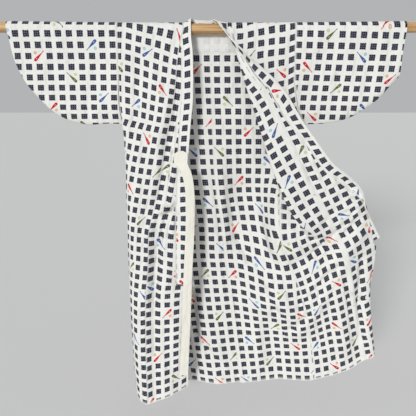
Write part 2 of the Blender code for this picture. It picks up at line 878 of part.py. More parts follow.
def sleeve(name, armhole, low, cuff):
    """Make one sleeve: a bag of cloth over the rod, open at body and cuff."""
    low_x = [row[0] for row in low]
    low_z = [row[1] for row in low]
    sign = 1 if low_x[-1] > low_x[0] else -1
    cuff_z = [row[0] for row in reversed(cuff)]
    cuff_x = [row[1] for row in reversed(cuff)]
    corner = cuff[-1]
    top_in = armhole[0][1] + sign * SLEEVE_SEAM

    def column_point(share, depth, side):
        foot_x = low_x[0] + (low_x[-1] - low_x[0]) * share
        keys = [x * sign for x in low_x]
        foot_z = bend(keys, low_z, foot_x * sign)
        z = foot_z * depth
        top_x = top_in + (cuff[1][1] - top_in) * share
        x = top_x + (foot_x - top_x) * depth ** 1.5
        edge_top = top_in + (low_x[0] - top_in) * depth ** 1.5
        slack = sign * (SLEEVE_SEAM + 1.6 * rise(0.45, 0.75, depth))
        body_edge = place(armhole, min(ARMHOLE, -z)) + Vector((slack, 0, 0))
        x += (body_edge.x - edge_top) * (1 - share) ** 3
        if share > 0.999:
            z = corner[0] * depth
            x = bend(cuff_z, cuff_x, z)
        shut = math.sqrt(max(0.0, 1 - ((depth - 0.86) / 0.14) ** 2)) if depth > 0.86 else 1
        half = SLEEVE_GAP + (OVER_ROD - SLEEVE_GAP) * (1 - rise(0.0, 0.4, depth))
        near = abs(body_edge.y) * (1 - rise(0.9, 1.0, depth))
        half = near + (half * shut - near) * rise(0, 0.3, share)
        return Vector((x, side * half, z + bow(x) * (1 - depth)))

    shares = [i / SLEEVE_COLUMNS for i in range(SLEEVE_COLUMNS + 1)]
    depths = [0, 0.1, 0.22, 0.36, 0.5, 0.64, 0.77, 0.87, 0.95, 1.0]
    points = []
    faces = []

    def add(row):
        base = len(points)
        points.extend(row)
        return list(range(base, base + len(row)))

    def join(upper, lower):
        for c in range(len(upper) - 1):
            faces.append((upper[c], lower[c], lower[c + 1], upper[c + 1]))

    foot = add([column_point(s, 1.0, 0) for s in shares])
    previous = foot
    for depth in reversed(depths[:-1]):
        ids = add([column_point(s, depth, 1) for s in shares])
        join(ids, previous)
        previous = ids
    for turn in OVER_ROD_TURNS:
        angle = math.radians(turn)
        row = []
        for s in shares:
            p = column_point(s, 0, 1)
            y = OVER_ROD * math.sin(angle)
            row.append(Vector((p.x, y, OVER_ROD * math.cos(angle) + bow(p.x))))
        ids = add(row)
        join(ids, previous)
        previous = ids
    for depth in depths[:-1]:
        ids = add([column_point(s, depth, -1) for s in shares])
        join(ids, previous)
        previous = ids
    join(foot, previous)
    solid(name, points, faces, CLOTH, CLOTH_COLOUR)


def rod():
    """Make the bowed wooden rod with flat upright ends."""
    body = bmesh.new()
    rings = []
    for i in range(ROD_RINGS + 1):
        x = -ROD_HALF_LENGTH + 2 * ROD_HALF_LENGTH * i / ROD_RINGS
        ring = []
        for k in range(ROD_SIDES):
            angle = 2 * math.pi * (k + 0.5) / ROD_SIDES
            y = ROD_RADIUS * math.cos(angle)
            z = ROD_RADIUS * math.sin(angle) + bow(x)
            ring.append(body.verts.new(Vector((x, y, z)) * MM))
        rings.append(ring)
    for a, b in zip(rings, rings[1:]):
        for k in range(ROD_SIDES):
            n = (k + 1) % ROD_SIDES
            body.faces.new((a[k], a[n], b[n], b[k]))
    body.faces.new(rings[0])
    body.faces.new(list(reversed(rings[-1])))
    finish("rod", body, WOOD_COLOUR)


def main():
    for thing in list(bpy.data.objects):
        bpy.data.objects.remove(thing, do_unlink=True)
    rod()
    body_half("body_right", back_right, front_right, [0, 1, 2, 3, 3.5, 4, 4.5, 5], 3)
    body_half("body_left", back_left, front_left, list(range(12)), 3)
    okumi("okumi_right", okumi_right, OKUMI_TIP_RIGHT, 5)
    okumi("okumi_left", okumi_left, OKUMI_TIP_LEFT, 5)
    sleeve("sleeve_right", ARMHOLE_BACK_RIGHT, SLEEVE_LOW_RIGHT, CUFF_RIGHT)
    sleeve("sleeve_left", ARMHOLE_BACK_LEFT, SLEEVE_LOW_LEFT, CUFF_LEFT)
    collar()
    neck_patch()
    seats = [
        tie_seat(okumi_right, COLLAR_EDGE_RIGHT, drop, 1, TIE_LIFT_RIGHT)
        for drop in TIE_SEWN_RIGHT
    ]
    tie("tie_right", seats, TIE_RIGHT)
    seats = [
        tie_seat(okumi_left, COLLAR_EDGE_LEFT, drop, -1, TIE_LIFT_LEFT)
        for drop in TIE_SEWN_LEFT
    ]
    tie("tie_left", seats, TIE_LEFT)


main()
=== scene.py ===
"""Looks of a child's cotton yukata robe hung on a round wooden rod.

Sizes in the tables are in millimetres and become metres in the meshes. X runs
to the viewer's right along the rod, Y away from the viewer, Z up. The origin
is on the rod's axis, halfway along it.
"""

import math
from collections import namedtuple

import bmesh
import bpy
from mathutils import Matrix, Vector, noise


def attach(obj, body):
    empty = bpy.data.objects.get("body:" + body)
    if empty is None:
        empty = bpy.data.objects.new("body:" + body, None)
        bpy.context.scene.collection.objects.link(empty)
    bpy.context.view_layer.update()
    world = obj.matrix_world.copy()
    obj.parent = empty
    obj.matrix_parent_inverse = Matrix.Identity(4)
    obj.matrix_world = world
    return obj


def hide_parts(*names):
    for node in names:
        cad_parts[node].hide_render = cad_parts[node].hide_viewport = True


bl_info = {
    "name": "Cotton yukata robe",
    "version": (1, 0, 0),
    "blender": (4, 5, 0),
    "location": "View3D > Sidebar > Robe",
    "description": "Builds the cloth pieces, rod and stage of a hung child's robe",
    "category": "Add Mesh",
}

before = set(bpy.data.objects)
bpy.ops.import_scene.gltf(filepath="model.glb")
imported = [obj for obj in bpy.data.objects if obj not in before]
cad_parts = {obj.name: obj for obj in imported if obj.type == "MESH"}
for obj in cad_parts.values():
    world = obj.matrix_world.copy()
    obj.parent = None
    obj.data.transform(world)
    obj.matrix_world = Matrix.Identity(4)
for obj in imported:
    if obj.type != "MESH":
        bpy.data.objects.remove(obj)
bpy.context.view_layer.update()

MM = 0.001

# The rod
ROD_RADIUS = 12.5
ROD_HALF_LENGTH = 600.0
ROD_BOW = 4.0
ROD_BOW_AT = 505.0
ROD_END_BEVEL = 1.2

# The cloth
OVER_ROD = 14.2
SEAM_GAP = 0.3
SEAM_ROLL = 2.6
COLLAR_SEAM_GAP = 0.45
COLLAR_CLOTH = 2.4
TIE_CLOTH = 1.6
CLOTH = 1.5
PATCH_CLOTH = 1.0
TIE_LIFT_RIGHT = 1.0
TIE_LIFT_LEFT = 0.3
HEM = 993.0
ARMHOLE = 228.0
OKUMI_TIP_RIGHT = 30.0
OKUMI_TIP_LEFT = 140.0
FRONT_WIDTH = 165.0
SLEEVE_SEAM = 0.9
SLEEVE_GAP = 9.0
STEP = 5.0

# Widths without print at seams, and the layers of the collar and neck piece
SIDE_PLAIN = 1.6
CENTRE_PLAIN = 1.4
OVERLAP_PLAIN = 0.4
COLLAR_LAYERS = 1.3
PATCH_LAYERS = 0.7

# The rod's mesh: its sides and the cuts along it
ROD_SIDES = 64
ROD_CUTS = 47

# The rows over the rod, in degrees back from its top, and the cloth's run there
OVER_TURNS = [90 - 180 * i / 14 for i in range(1, 14)]
HALF_ROUND = 44.6

# Points across the collar and across a tie
COLLAR_SHARES = [
    0, 0.02, 0.05, 0.1, 0.18, 0.28, 0.4, 0.52, 0.64, 0.74, 0.82, 0.88, 0.92, 0.95,
    0.98, 1.0]
TIE_SHARES = [
    -1.0, -0.97, -0.85, -0.6, -0.3, -0.06, 0.0, 0.06, 0.3, 0.6, 0.85, 0.97, 1.0]

# Where the print starts: down the cloth at the rod, behind and on the sleeves,
# then across it, off the seam of the overlap, collar and neck piece
BACK_V = 1055.7
SLEEVE_V = 18.1
OKUMI_PRINT = 7.8
COLLAR_PRINT = 14.3
PATCH_PRINT = 3.4

# How far down the front its columns still lean from the shoulder
SLANT_RUN = 250

# The camera: its sensor, the picture's side and the reach that it is seen from,
# and how many degrees it looks down
SENSOR = 36.0
VIEW_SIDE = 416
VIEW_REACH = 464.1
LOOK_DOWN = 14.25
CAMERA_PLACE = (0, -1.2, -0.144)

# The stage: places in metres, how wide each light spreads in degrees
AIM = (0, 0, -0.45)
KEY_PLACE = (-1.05, -2.3, 0.40)
KEY_SPREAD = 12
BACK_PLACE = (1.0, 2.2, 1.2)
BACK_SPREAD = 50
BACK_SHARE = 0.3
SKY_COLOUR = (0.90, 0.91, 0.93, 1.0)
SKY_STRENGTH = 0.50
FLOOR_SIZE = 40

# The tables below give lines of the robe as it hangs. Each row is a drop down
# the cloth from the height of the rod's axis, then the place x, y, z.

CENTRE_BACK = [
    (0, 7, 14.2, 0), (60, 7, 15, -60), (230, 12, 16, -230), (330, 16, 18, -330),
    (420, 25, 20, -420), (500, 37, 22, -499), (600, 48, 22, -598), (800, 73, 18, -796),
    (993, 99, 14, -988),
]

# The wearer's right side, at the viewer's left
ARMHOLE_BACK_RIGHT = [
    (0, -220, 14.2, 0), (180, -221, 14, -180), (228, -216, 1.2, -228),
]
SIDE_RIGHT = [
    (228, -216, 1.2, -228), (270, -211, 9, -270), (330, -206, 14, -330),
    (420, -198, 17, -420), (500, -190, 18, -500), (700, -165, 18, -698),
    (850, -147, 16, -847), (993, -129, 14, -989),
]
FRONT_SIDE_RIGHT = [
    (0, -220, -14.2, 0), (180, -221, -14, -180),
] + SIDE_RIGHT
ROLL_BACK_RIGHT = [
    (0, -200, -14.2, 0), (180, -207, -15, -183), (228, -217, -8, -229),
    (270, -215, 1, -271), (330, -214, 4, -331), (420, -212, 8, -421),
    (500, -208, 12, -501), (700, -203, 13, -699), (850, -199, 12, -849),
    (993, -192, 11, -992),
]
SILHOUETTE_RIGHT = [
    (0, -180, -14.2, 0), (180, -188, -16, -186), (228, -208, -17, -232),
    (270, -212, -10, -273), (330, -213, -10, -333), (500, -215, -12, -502),
    (700, -216, -14, -701), (850, -213, -17, -852), (993, -207, -19, -995),
]
ROLL_FRONT_RIGHT = [
    (0, -150, -14.2, 0), (180, -160, -18, -193), (228, -182, -21, -237),
    (270, -194, -24, -279), (330, -202, -28, -338), (500, -197, -39, -504),
    (700, -197, -45, -703), (850, -196, -49, -856), (993, -192, -53, -1001),
]
MIDDLE_RIGHT = [
    (0, -110, -14.2, 0), (50, -114, -17, -62), (180, -125, -25, -201),
    (228, -138, -27, -246), (330, -162, -31, -346), (500, -176, -38, -508),
    (700, -183, -46, -706), (850, -185, -50, -861), (993, -182, -56, -1009),
]
OKUMI_SEAM_RIGHT = [
    (0, -60, -14.2, 0), (30, -70, -17, -45), (60, -75, -20, -80), (100, -79, -24, -122),
    (180, -92, -28, -204), (228, -103, -30, -252), (330, -121, -31, -350),
    (420, -138, -32, -437), (500, -156, -34, -512), (600, -161, -39, -608),
    (700, -170, -45, -705), (850, -173, -51, -860), (993, -172, -58, -1011),
]
OKUMI_MIDDLE_RIGHT = [
    (30, -67, -17.5, -46), (84, -71, -23, -106), (180, -82, -29, -206),
    (330, -100, -36, -353), (500, -123, -42, -516), (660, -118, -46, -664),
    (850, -117, -48, -850), (993, -112, -52, -990),
]
OKUMI_EDGE_RIGHT = [
    (30, -63.5, -18, -47), (84, -64, -22.5, -108), (180, -69, -27, -208),
    (330, -79, -32, -356), (500, -86, -36, -519), (646, -86, -38, -655),
    (652, -53, -38, -658), (800, -54, -36, -790), (993, -57, -32, -968),
]

# The wearer's left side, at the viewer's right
ARMHOLE_BACK_LEFT = [
    (0, 211, 14.2, 0), (110, 212, 14, -110), (180, 223, 13, -180), (228, 241, 3, -229),
]
SIDE_LEFT = [
    (228, 241, 3, -229), (300, 221, 10, -298), (350, 206, 6, -350), (400, 192, 0, -396),
    (450, 189, -8, -444), (500, 191, -12, -491), (568, 202, -12, -559),
    (600, 215, -10, -588), (648, 235, -6, -632), (700, 254, -2, -680),
    (813, 284, 4, -789), (931, 308, 8, -908), (993, 317, 10, -976),
]
FRONT_SIDE_LEFT = [
    (0, 211, -14.2, 0), (110, 212, -16, -110), (180, 223, -15, -180),
] + SIDE_LEFT
BACK_FOLD_LEFT = [
    (0, 182, -14.2, 0), (110, 196, -17, -114), (180, 212, -16, -184),
    (228, 239, -5, -232), (300, 238, 2, -301), (400, 232, -6, -402),
    (450, 240, -12, -452), (500, 250, -16, -492), (560, 256, -14, -538),
    (620, 266, -12, -594), (700, 296, -8, -664), (813, 330, -2, -770),
    (993, 372, 6, -958),
]
FRONT_FOLD_LEFT = [
    (0, 64, -14.2, 0), (25, 63, -17.5, -26), (50, 68, -23, -55), (100, 87, -30, -118),
    (228, 133, -36, -250), (300, 155, -39, -318), (400, 192, -41, -408),
    (450, 216, -40, -453), (500, 250, -38, -494), (560, 292, -26, -527),
    (620, 312, -20, -570), (700, 334, -12, -650), (813, 370, -6, -760),
    (993, 412, 4, -940),
]
OKUMI_SEAM_LEFT = [
    (0, 47, -14.2, 0), (25, 58, -28, -30), (50, 81, -32, -60), (100, 113, -36, -108),
    (140, 139, -38, -139), (228, 182, -41, -217), (300, 216, -42, -279),
    (400, 264, -41, -367), (500, 312, -36, -455), (560, 341, -30, -506),
    (628, 372, -22, -567), (700, 392, -15, -637), (813, 421, -7, -746),
    (993, 462, 2, -906),
]
OKUMI_EDGE_LEFT = [
    (140, 144, -38, -138), (228, 191, -43, -213), (300, 241, -45, -270),
    (400, 300, -45, -346), (450, 345, -44, -379), (500, 385, -42, -408),
    (540, 403, -38, -430), (580, 416, -32, -464), (610, 429, -26, -500),
    (636, 440, -20.5, -535), (642, 442, -20, -541), (650, 451, -17, -549),
    (700, 455, -10, -600), (760, 461, -4, -662), (830, 470, 4, -734),
    (900, 480, 10, -803), (993, 493, 16, -882),
]
OKUMI_TURN_LEFT = [
    (140, 141, -38, -138.5), (228, 187, -42, -215), (300, 230, -45, -274),
    (400, 283, -46, -357), (450, 317, -46, -395), (500, 350, -43, -431),
    (580, 383, -35, -493), (640, 409, -25, -560), (700, 425, -15, -617),
    (760, 436, -7, -680), (900, 462, -3, -815), (993, 480, 1, -895),
]

# How deep the back sinks away from the viewer a third and two thirds of the
# way from the centre seam to the side
BACK_SAG_LEFT = [
    (0, 0, 0), (228, 2, 2), (330, 12, 10), (420, 26, 24), (500, 26, 28), (568, 14, 14),
    (648, 2, -4), (740, -10, -16), (850, -6, -8), (993, 0, 0),
]
BACK_SAG_RIGHT = [
    (0, 0, 0), (228, 2, 1), (420, 6, -3), (600, -4, 5), (800, 5, -6), (993, 8, -9),
]

# Broad folds: where each starts and ends on the front view (x, z), how far it
# stands toward the viewer, and half its width
FOLDS_FRONT_RIGHT = [
    (-80, -150, -92, -240, -9, 13), (-92, -240, -128, -450, -15, 14),
    (-128, -450, -150, -700, -12, 14), (-150, -700, -150, -980, -6, 16),
]
FOLDS_OPENED = [
    (120, -600, 262, -800, 13, 34), (262, -800, 312, -690, 14, 30),
    (312, -690, 392, -520, 12, 28), (250, -600, 372, -478, -10, 22),
    (352, -640, 386, -860, 7, 24), (180, -800, 204, -975, -8, 30),
    (410, -700, 440, -900, -8, 22),
]

# Creases, placed the same way
CREASES_FRONT_RIGHT = [
    (-178, -60, -182, -167, -3.9, 8), (-182, -167, -190, -253, -4.8, 8),
    (-190, -253, -199, -420, -3.6, 9), (-150, -70, -122, -132, 2.7, 14),
    (-122, -132, -106, -200, 3.3, 12), (-76, -120, -84, -240, -6.0, 4.5),
    (-84, -240, -89, -300, -8.2, 4.5), (-89, -300, -98, -360, -9.0, 4.5),
    (-98, -360, -107, -425, -9.0, 4.5), (-112, -468, -137, -590, -6.8, 8),
    (-137, -590, -145, -701, -6.0, 8), (-145, -701, -147, -854, -3.6, 9),
    (-124, -420, -156, -506, 4.5, 9), (-156, -506, -168, -701, 3.9, 10),
    (-128, -452, -109, -438, 12.0, 5.5), (-109, -438, -92, -428, 10.5, 5),
    (-118, -464, -94, -446, -9.5, 4.5), (-104, -456, -127, -529, -8.0, 5.5),
    (-127, -529, -150, -579, -3.6, 7), (-96, -452, -106, -515, -7.5, 4.5),
    (-106, -515, -113, -590, -3.3, 6), (-88, -445, -82, -495, -6.0, 4.5),
    (-82, -495, -80, -557, -3.0, 5), (-203, -316, -205, -501, 2.4, 8),
    (-190, -560, -196, -700, -2.1, 9), (-120, -700, -112, -880, -2.4, 14),
    (-92, -760, -84, -900, 2.1, 12),
]
CREASES_BACK = [
    (4, -270, 54, -444, 2.4, 14), (54, -444, 82, -543, -3.7, 11),
    (82, -543, 114, -602, -6.1, 10), (114, -602, 155, -683, -7.1, 11),
    (155, -683, 189, -747, -6.1, 11), (189, -747, 237, -804, -5.1, 12),
    (237, -808, 273, -772, -5.1, 10), (273, -772, 309, -698, -6.8, 10),
    (309, -698, 351, -611, -7.1, 10), (351, -611, 378, -500, -5.1, 10),
    (-43, -700, -35, -830, -7.6, 10), (-35, -830, 3, -885, -6.8, 10),
    (3, -885, 41, -945, -5.1, 10), (150, -270, 171, -403, -4.4, 9),
    (171, -403, 182, -558, -5.1, 9), (37, -403, 49, -543, 3.1, 12),
    (49, -543, 79, -692, 3.7, 14), (136, -817, 159, -915, 3.4, 16),
    (159, -915, 167, -985, -3.1, 14),
]
CREASES_OPENED = [
    (362, -482, 343, -510, -8.0, 5.5), (343, -510, 313, -546, -9.0, 6),
    (313, -546, 277, -587, -7.5, 7), (386, -446, 353, -501, 6.5, 6),
    (353, -501, 294, -587, 7.0, 7.5), (199, -468, 235, -500, -7.0, 6),
    (235, -500, 274, -530, -8.5, 5.5), (274, -530, 306, -530, -6.5, 5.5),
    (332, -624, 302, -675, -8.0, 7.5), (302, -675, 271, -729, -7.5, 7.5),
    (415, -578, 424, -717, -7.8, 8), (424, -717, 439, -835, -6.8, 9),
    (370, -549, 399, -681, 3.7, 9), (399, -681, 432, -819, 3.4, 10),
    (345, -760, 366, -900, -3.4, 14), (240, -860, 262, -960, 3.4, 18),
]
CREASES_FLAP = [
    (244, -331, 261, -365, -5.9, 5), (261, -365, 275, -393, -3.9, 5),
    (258, -314, 278, -354, 5.0, 5), (278, -354, 295, -391, 3.5, 5),
    (394, -406, 347, -362, -4.8, 5), (347, -362, 307, -328, -2.8, 5),
    (392, -414, 343, -386, 4.3, 4.5), (390, -422, 340, -409, -4.8, 4.5),
    (340, -409, 291, -404, -2.4, 6), (390, -430, 353, -440, 4.8, 5),
    (353, -440, 316, -465, 2.8, 6), (292, -262, 318, -300, -4.0, 5),
    (318, -300, 352, -338, -3.0, 5), (268, -262, 300, -318, 3.2, 6),
    (330, -352, 362, -392, -4.4, 5), (300, -338, 322, -372, 4.0, 5),
    (238, -262, 252, -300, -3.6, 5), (330, -446, 300, -486, -4.0, 6),
    (366, -452, 340, -486, 3.2, 6),
]
CREASES_SLEEVE_LEFT = [
    (214, -96, 220, -168, 4.2, 5), (226, -120, 240, -200, -2.8, 7),
    (295, -27, 340, -144, -1.4, 14), (398, -50, 384, -178, -1.1, 14),
    (430, -60, 425, -150, 1.0, 12),
]
CREASES_SLEEVE_RIGHT = [
    (-331, -163, -301, -197, -2.8, 8), (-301, -197, -262, -217, -2.2, 8),
    (-382, -27, -367, -144, -1.1, 14), (-265, -15, -289, -168, -1.4, 14),
    (-244, -150, -232, -214, 2.5, 7),
]

# The collar's free edge, x y z, by how far down the seam it is. Zero is the
# front of the rod; the rod's back is 44.6 up, and the neck's middle lies beyond
COLLAR_EDGE_RIGHT = [
    (-111.6, 7, 17.6, 21), (-78, -27, 17.5, 22), (-50, -37, 15, 25),
    (-37, -38.5, 9, 26), (-22, -40, 0, 25), (-8, -41, -14, 15), (12, -41, -18, -12),
    (45, -37, -24, -56), (92, -36, -28, -112), (140, -37, -32, -164),
    (200, -43, -35, -226), (300, -50, -39, -326), (430, -51, -41, -448),
    (530, -51, -42, -550), (640, -51, -43, -649),
]
COLLAR_EDGE_LEFT = [
    (-84.6, 7, 17.6, 21), (-66, 10, 17.4, 23), (-50, 13, 12, 23), (-37, 16, 5, 21),
    (-22, 20, -4, 18), (-8, 26, -17, 9), (12, 35, -26, -2), (25, 45, -37, -15),
    (38, 62, -43, -33), (50, 83, -46, -52), (90, 121, -48, -85), (136, 156, -48, -115),
    (190, 190, -48, -152), (240, 229, -49, -214), (290, 261, -49, -257),
    (340, 288, -49, -292), (390, 314, -49, -323), (430, 351, -50, -351),
    (470, 381, -52, -379), (500, 394, -53, -399), (540, 400, -52, -430),
    (580, 417, -40, -458), (610, 438, -29, -491), (636, 458, -20, -525),
]

# Ties: each is sewn flat on the collar at these drops, then hangs through these
# places x, y, z with this width
TIE_SEWN_RIGHT = (264, 281, 298)
TIE_SEWN_LEFT = (276, 286, 296)
TIE_RIGHT = [
    (-61, -42.5, -334, 28), (-52, -44.5, -356, 25), (-46, -45, -400, 23),
    (-47, -46.5, -500, 23), (-53, -47, -610, 23), (-58, -48, -730, 23),
    (-64, -47, -850, 23), (-68, -44, -925, 23),
]
TIE_LEFT = [
    (262, -40, -300, 23), (266, -31, -400, 23), (270, -2, -500, 23),
    (272, 14, -600, 23), (273, 20, -720, 23), (274, 24, -880, 23),
]

# Sleeve outline: x outward from the body seam, z of the lower edge there
SLEEVE_LOW_RIGHT = [
    (-221.5, -227), (-255, -226), (-300, -229), (-344, -221), (-388, -199),
    (-429, -158), (-460, -116), (-472, -82),
]
SLEEVE_LOW_LEFT = [
    (242, -228), (281, -227), (319, -223), (356, -213), (395, -191), (430, -163),
    (458, -130), (474, -112),
]
CUFF_RIGHT = [(15, -487), (5, -486), (-29, -482), (-56, -478), (-82, -472)]
CUFF_LEFT = [(15, 479), (-3, 478), (-33, 477), (-66, 475), (-112, 474)]


# What a user can change

class RobeCloth(bpy.types.PropertyGroup):
    """Sizes and colours of the printed cotton"""

    pitch: bpy.props.FloatProperty(
        name="Print repeat", description="Distance from one checked block to the next",
        default=0.026, min=0.01, max=0.08, unit="LENGTH")
    block: bpy.props.FloatProperty(
        name="Block share", description="How much of a repeat one checked block fills",
        default=0.58, min=0.2, max=0.9, subtype="FACTOR")
    thickness: bpy.props.FloatProperty(
        name="Cloth thickness", description="Thickness of one layer of the cloth",
        default=0.0009, min=0.0003, max=0.0015, unit="LENGTH")
    ground: bpy.props.FloatVectorProperty(
        name="Ground", description="Undyed cotton between the blocks",
        default=(0.83, 0.825, 0.785), size=3, min=0, max=1, subtype="COLOR")
    navy: bpy.props.FloatVectorProperty(
        name="Navy", description="Dye of the checked blocks",
        default=(0.004, 0.005, 0.030), size=3, min=0, max=1, subtype="COLOR")
    red: bpy.props.FloatVectorProperty(
        name="Red", description="Dye of the red bats",
        default=(0.56, 0.006, 0.026), size=3, min=0, max=1, subtype="COLOR")
    blue: bpy.props.FloatVectorProperty(
        name="Blue", description="Dye of the blue bats",
        default=(0.042, 0.105, 0.30), size=3, min=0, max=1, subtype="COLOR")
    olive: bpy.props.FloatVectorProperty(
        name="Olive", description="Dye of the olive bats",
        default=(0.125, 0.140, 0.038), size=3, min=0, max=1, subtype="COLOR")
    orange: bpy.props.FloatVectorProperty(
        name="Orange", description="Dye of the balls beside red bats",
        default=(0.68, 0.37, 0.15), size=3, min=0, max=1, subtype="COLOR")
    sky: bpy.props.FloatVectorProperty(
        name="Sky", description="Dye of the balls beside blue bats",
        default=(0.26, 0.52, 0.64), size=3, min=0, max=1, subtype="COLOR")
    lime: bpy.props.FloatVectorProperty(
        name="Lime", description="Dye of the balls beside olive bats",
        default=(0.50, 0.60, 0.30), size=3, min=0, max=1, subtype="COLOR")
    cream: bpy.props.FloatVectorProperty(
        name="Cream", description="Plain cotton of the ties",
        default=(0.84, 0.82, 0.73), size=3, min=0, max=1, subtype="COLOR")
    white: bpy.props.FloatVectorProperty(
        name="White", description="Plain cotton inside the neck",
        default=(0.84, 0.84, 0.82), size=3, min=0, max=1, subtype="COLOR")


class RobeRod(bpy.types.PropertyGroup):
    """Sizes and colours of the rod"""

    radius: bpy.props.FloatProperty(
        name="Rod radius", description="Half the rod's thickness",
        default=ROD_RADIUS * MM, min=0.005, max=0.013, unit="LENGTH")
    pale: bpy.props.FloatVectorProperty(
        name="Pale wood", description="Wood between the grain lines",
        default=(0.64, 0.42, 0.20), size=3, min=0, max=1, subtype="COLOR")
    dark: bpy.props.FloatVectorProperty(
        name="Dark wood", description="Wood in the grain lines",
        default=(0.38, 0.21, 0.075), size=3, min=0, max=1, subtype="COLOR")


class RobeStage(bpy.types.PropertyGroup):
    """Floor and light around the robe"""

    floor_height: bpy.props.FloatProperty(
        name="Floor height", description="Height of the floor below the rod",
        default=-1.12, unit="LENGTH")
    floor_colour: bpy.props.FloatVectorProperty(
        name="Floor colour", description="Plain pale floor",
        default=(0.72, 0.72, 0.71), size=3, min=0, max=1, subtype="COLOR")
    key_power: bpy.props.FloatProperty(
        name="Key power", description="Strength of the main soft light",
        default=2.0, min=0, max=10)


# Lines and curves

def rise(low, high, value):
    """Go smoothly from 0 at low to 1 at high."""
    share = min(1.0, max(0.0, (value - low) / (high - low)))
    return share * share * (3 - 2 * share)


def bend(keys, values, key):
    """Read a smooth curve through the given keys without overshoot."""
    if key <= keys[0]:
        return values[0]
    if key >= keys[-1]:
        return values[-1]
    steps = [b - a for a, b in zip(keys, keys[1:])]
    slopes = [(b - a) / s for a, b, s in zip(values, values[1:], steps)]
    tangents = [slopes[0]]
    for before, after in zip(slopes, slopes[1:]):
        if before * after <= 0:
            tangents.append(0.0)
        else:
            tangents.append(2 * before * after / (before + after))
    tangents.append(slopes[-1])
    at = 0
    while key > keys[at + 1]:
        at += 1
    step = steps[at]
    t = (key - keys[at]) / step
    a = values[at] * (1 + 2 * t) * (1 - t) ** 2
    b = values[at + 1] * t * t * (3 - 2 * t)
    c = step * tangents[at] * t * (1 - t) ** 2
    d = step * tangents[at + 1] * t * t * (t - 1)
    return a + b + c + d


def read(table, key):
    """Read all columns of a table after its first, at a value of the first."""
    keys, *columns = zip(*table)
    return [bend(keys, column, key) for column in columns]


def place(line, drop):
    """Give the point of a named line at a drop."""
    return Vector(read(line, drop))


def through(points, at):
    """Read a soft curve through points, one unit from each to the next."""
    last = len(points) - 1
    index = min(int(at), last - 1)
    share = at - index
    p1 = points[index]
    p2 = points[index + 1]
    if share < 1e-9:
        return p1.copy()
    if share > 1 - 1e-9:
        return p2.copy()
    p0 = points[index - 1] if index > 0 else p1 * 2 - p2
    p3 = points[index + 2] if index + 2 <= last else p2 * 2 - p1
    t1 = max(0.01, (p1 - p0).length) ** 0.5
    t2 = t1 + max(0.01, (p2 - p1).length) ** 0.5
    t3 = t2 + max(0.01, (p3 - p2).length) ** 0.5
    t = t1 + (t2 - t1) * share
    a1 = p0.lerp(p1, t / t1)
    a2 = p1.lerp(p2, share)
    a3 = p2.lerp(p3, (t - t2) / (t3 - t2))
    b1 = a1.lerp(a2, t / t2)
    b2 = a2.lerp(a3, (t - t1) / (t3 - t1))
    return b1.lerp(b2, share)


def by_share(points, share):
    """Read a soft curve through points at a share of its straight length."""
    lengths = [(b - a).length for a, b in zip(points, points[1:])]
    want = share * sum(lengths)
    for index, length in enumerate(lengths):
        if want <= length or index == len(lengths) - 1:
            return through(points, index + min(1.0, want / length))
        want -= length
    return points[-1]


def run_lengths(points):
    """Say how far along a row of points each one is."""
    found = [0.0]
    for a, b in zip(points, points[1:]):
        found.append(found[-1] + (b - a).length)
    return found


def steps_between(low, high, step=STEP):
    """List evenly spaced values from low to high, both ends in."""
    count = max(1, round((high - low) / step))
    return [low + (high - low) * i / count for i in range(count + 1)]


def bow(x):
    """Say how much higher the rod is here than at its middle."""
    return ROD_BOW * (x / ROD_BOW_AT) ** 2


def over_rod(x, turn):
    """Give the cloth's place on the rod, this many degrees back from its top."""
    angle = math.radians(turn)
    return Vector((x, OVER_ROD * math.sin(angle), OVER_ROD * math.cos(angle) + bow(x)))


# Folds and creases

def fold_height(point, folds, added=True):
    """Say how far the folds stand toward the viewer: added up, or the tallest."""
    height = 0.0
    for x1, z1, x2, z2, stands, half in folds:
        span_x = x2 - x1
        span_z = z2 - z1
        off_x = point.x - x1
        off_z = point.z - z1
        along = (off_x * span_x + off_z * span_z) / (span_x ** 2 + span_z ** 2)
        share = min(1.0, max(0.0, along))
        away = math.hypot(off_x - span_x * share, off_z - span_z * share) / half
        if away < 2.5:
            here = stands * math.exp(-away * away)
            if added:
                height += here
            elif abs(here) > abs(height):
                height = here
    return height


def toward(point, amount):
    """Move a point toward the viewer."""
    return point - Vector((0, amount, 0))


def folded(point, folds, amount):
    """Move a point toward the viewer by the broad folds."""
    return toward(point, fold_height(point, folds, added=False) * amount)


def ripple(point, size, height, seed):
    """Give the cloth's slight unevenness at a point."""
    spot = Vector((point.x / size, point.z / (size * 1.6), seed))
    return noise.noise(spot) * height


def back_creases(point):
    """Give the creases of the back."""
    return fold_height(point, CREASES_BACK) + ripple(point, 46, 1.3, 3.1)


def right_creases(point):
    """Give the creases that all layers of the right front share."""
    return fold_height(point, CREASES_FRONT_RIGHT) + ripple(point, 42, 1.2, 9.4)


def flap_creases(point):
    """Give the creases that all layers of the turned left front share."""
    return fold_height(point, CREASES_FLAP) + ripple(point, 40, 1.0, 5.7)


def seam_roll(drop, share):
    """Give how far the seam at the middle of the back rolls to one side."""
    near = rise(0.93, 0.97, share) * (1 - rise(0.975, 1, share))
    return SEAM_ROLL * near * rise(330, 480, drop)


def relief_back_right(point, drop, share):
    """Crease the back at the viewer's left, less at its side."""
    return toward(point, back_creases(point) * rise(0, 0.2, share) - seam_roll(drop, share))


def relief_back_left(point, drop, share):
    """Crease the back at the viewer's right, less at its side."""
    point = folded(point, FOLDS_OPENED, rise(560, 640, drop))
    inner = rise(0, 0.12, share) + (1 - rise(0, 0.12, share)) * rise(600, 680, drop)
    return toward(point, back_creases(point) * inner + seam_roll(drop, share))


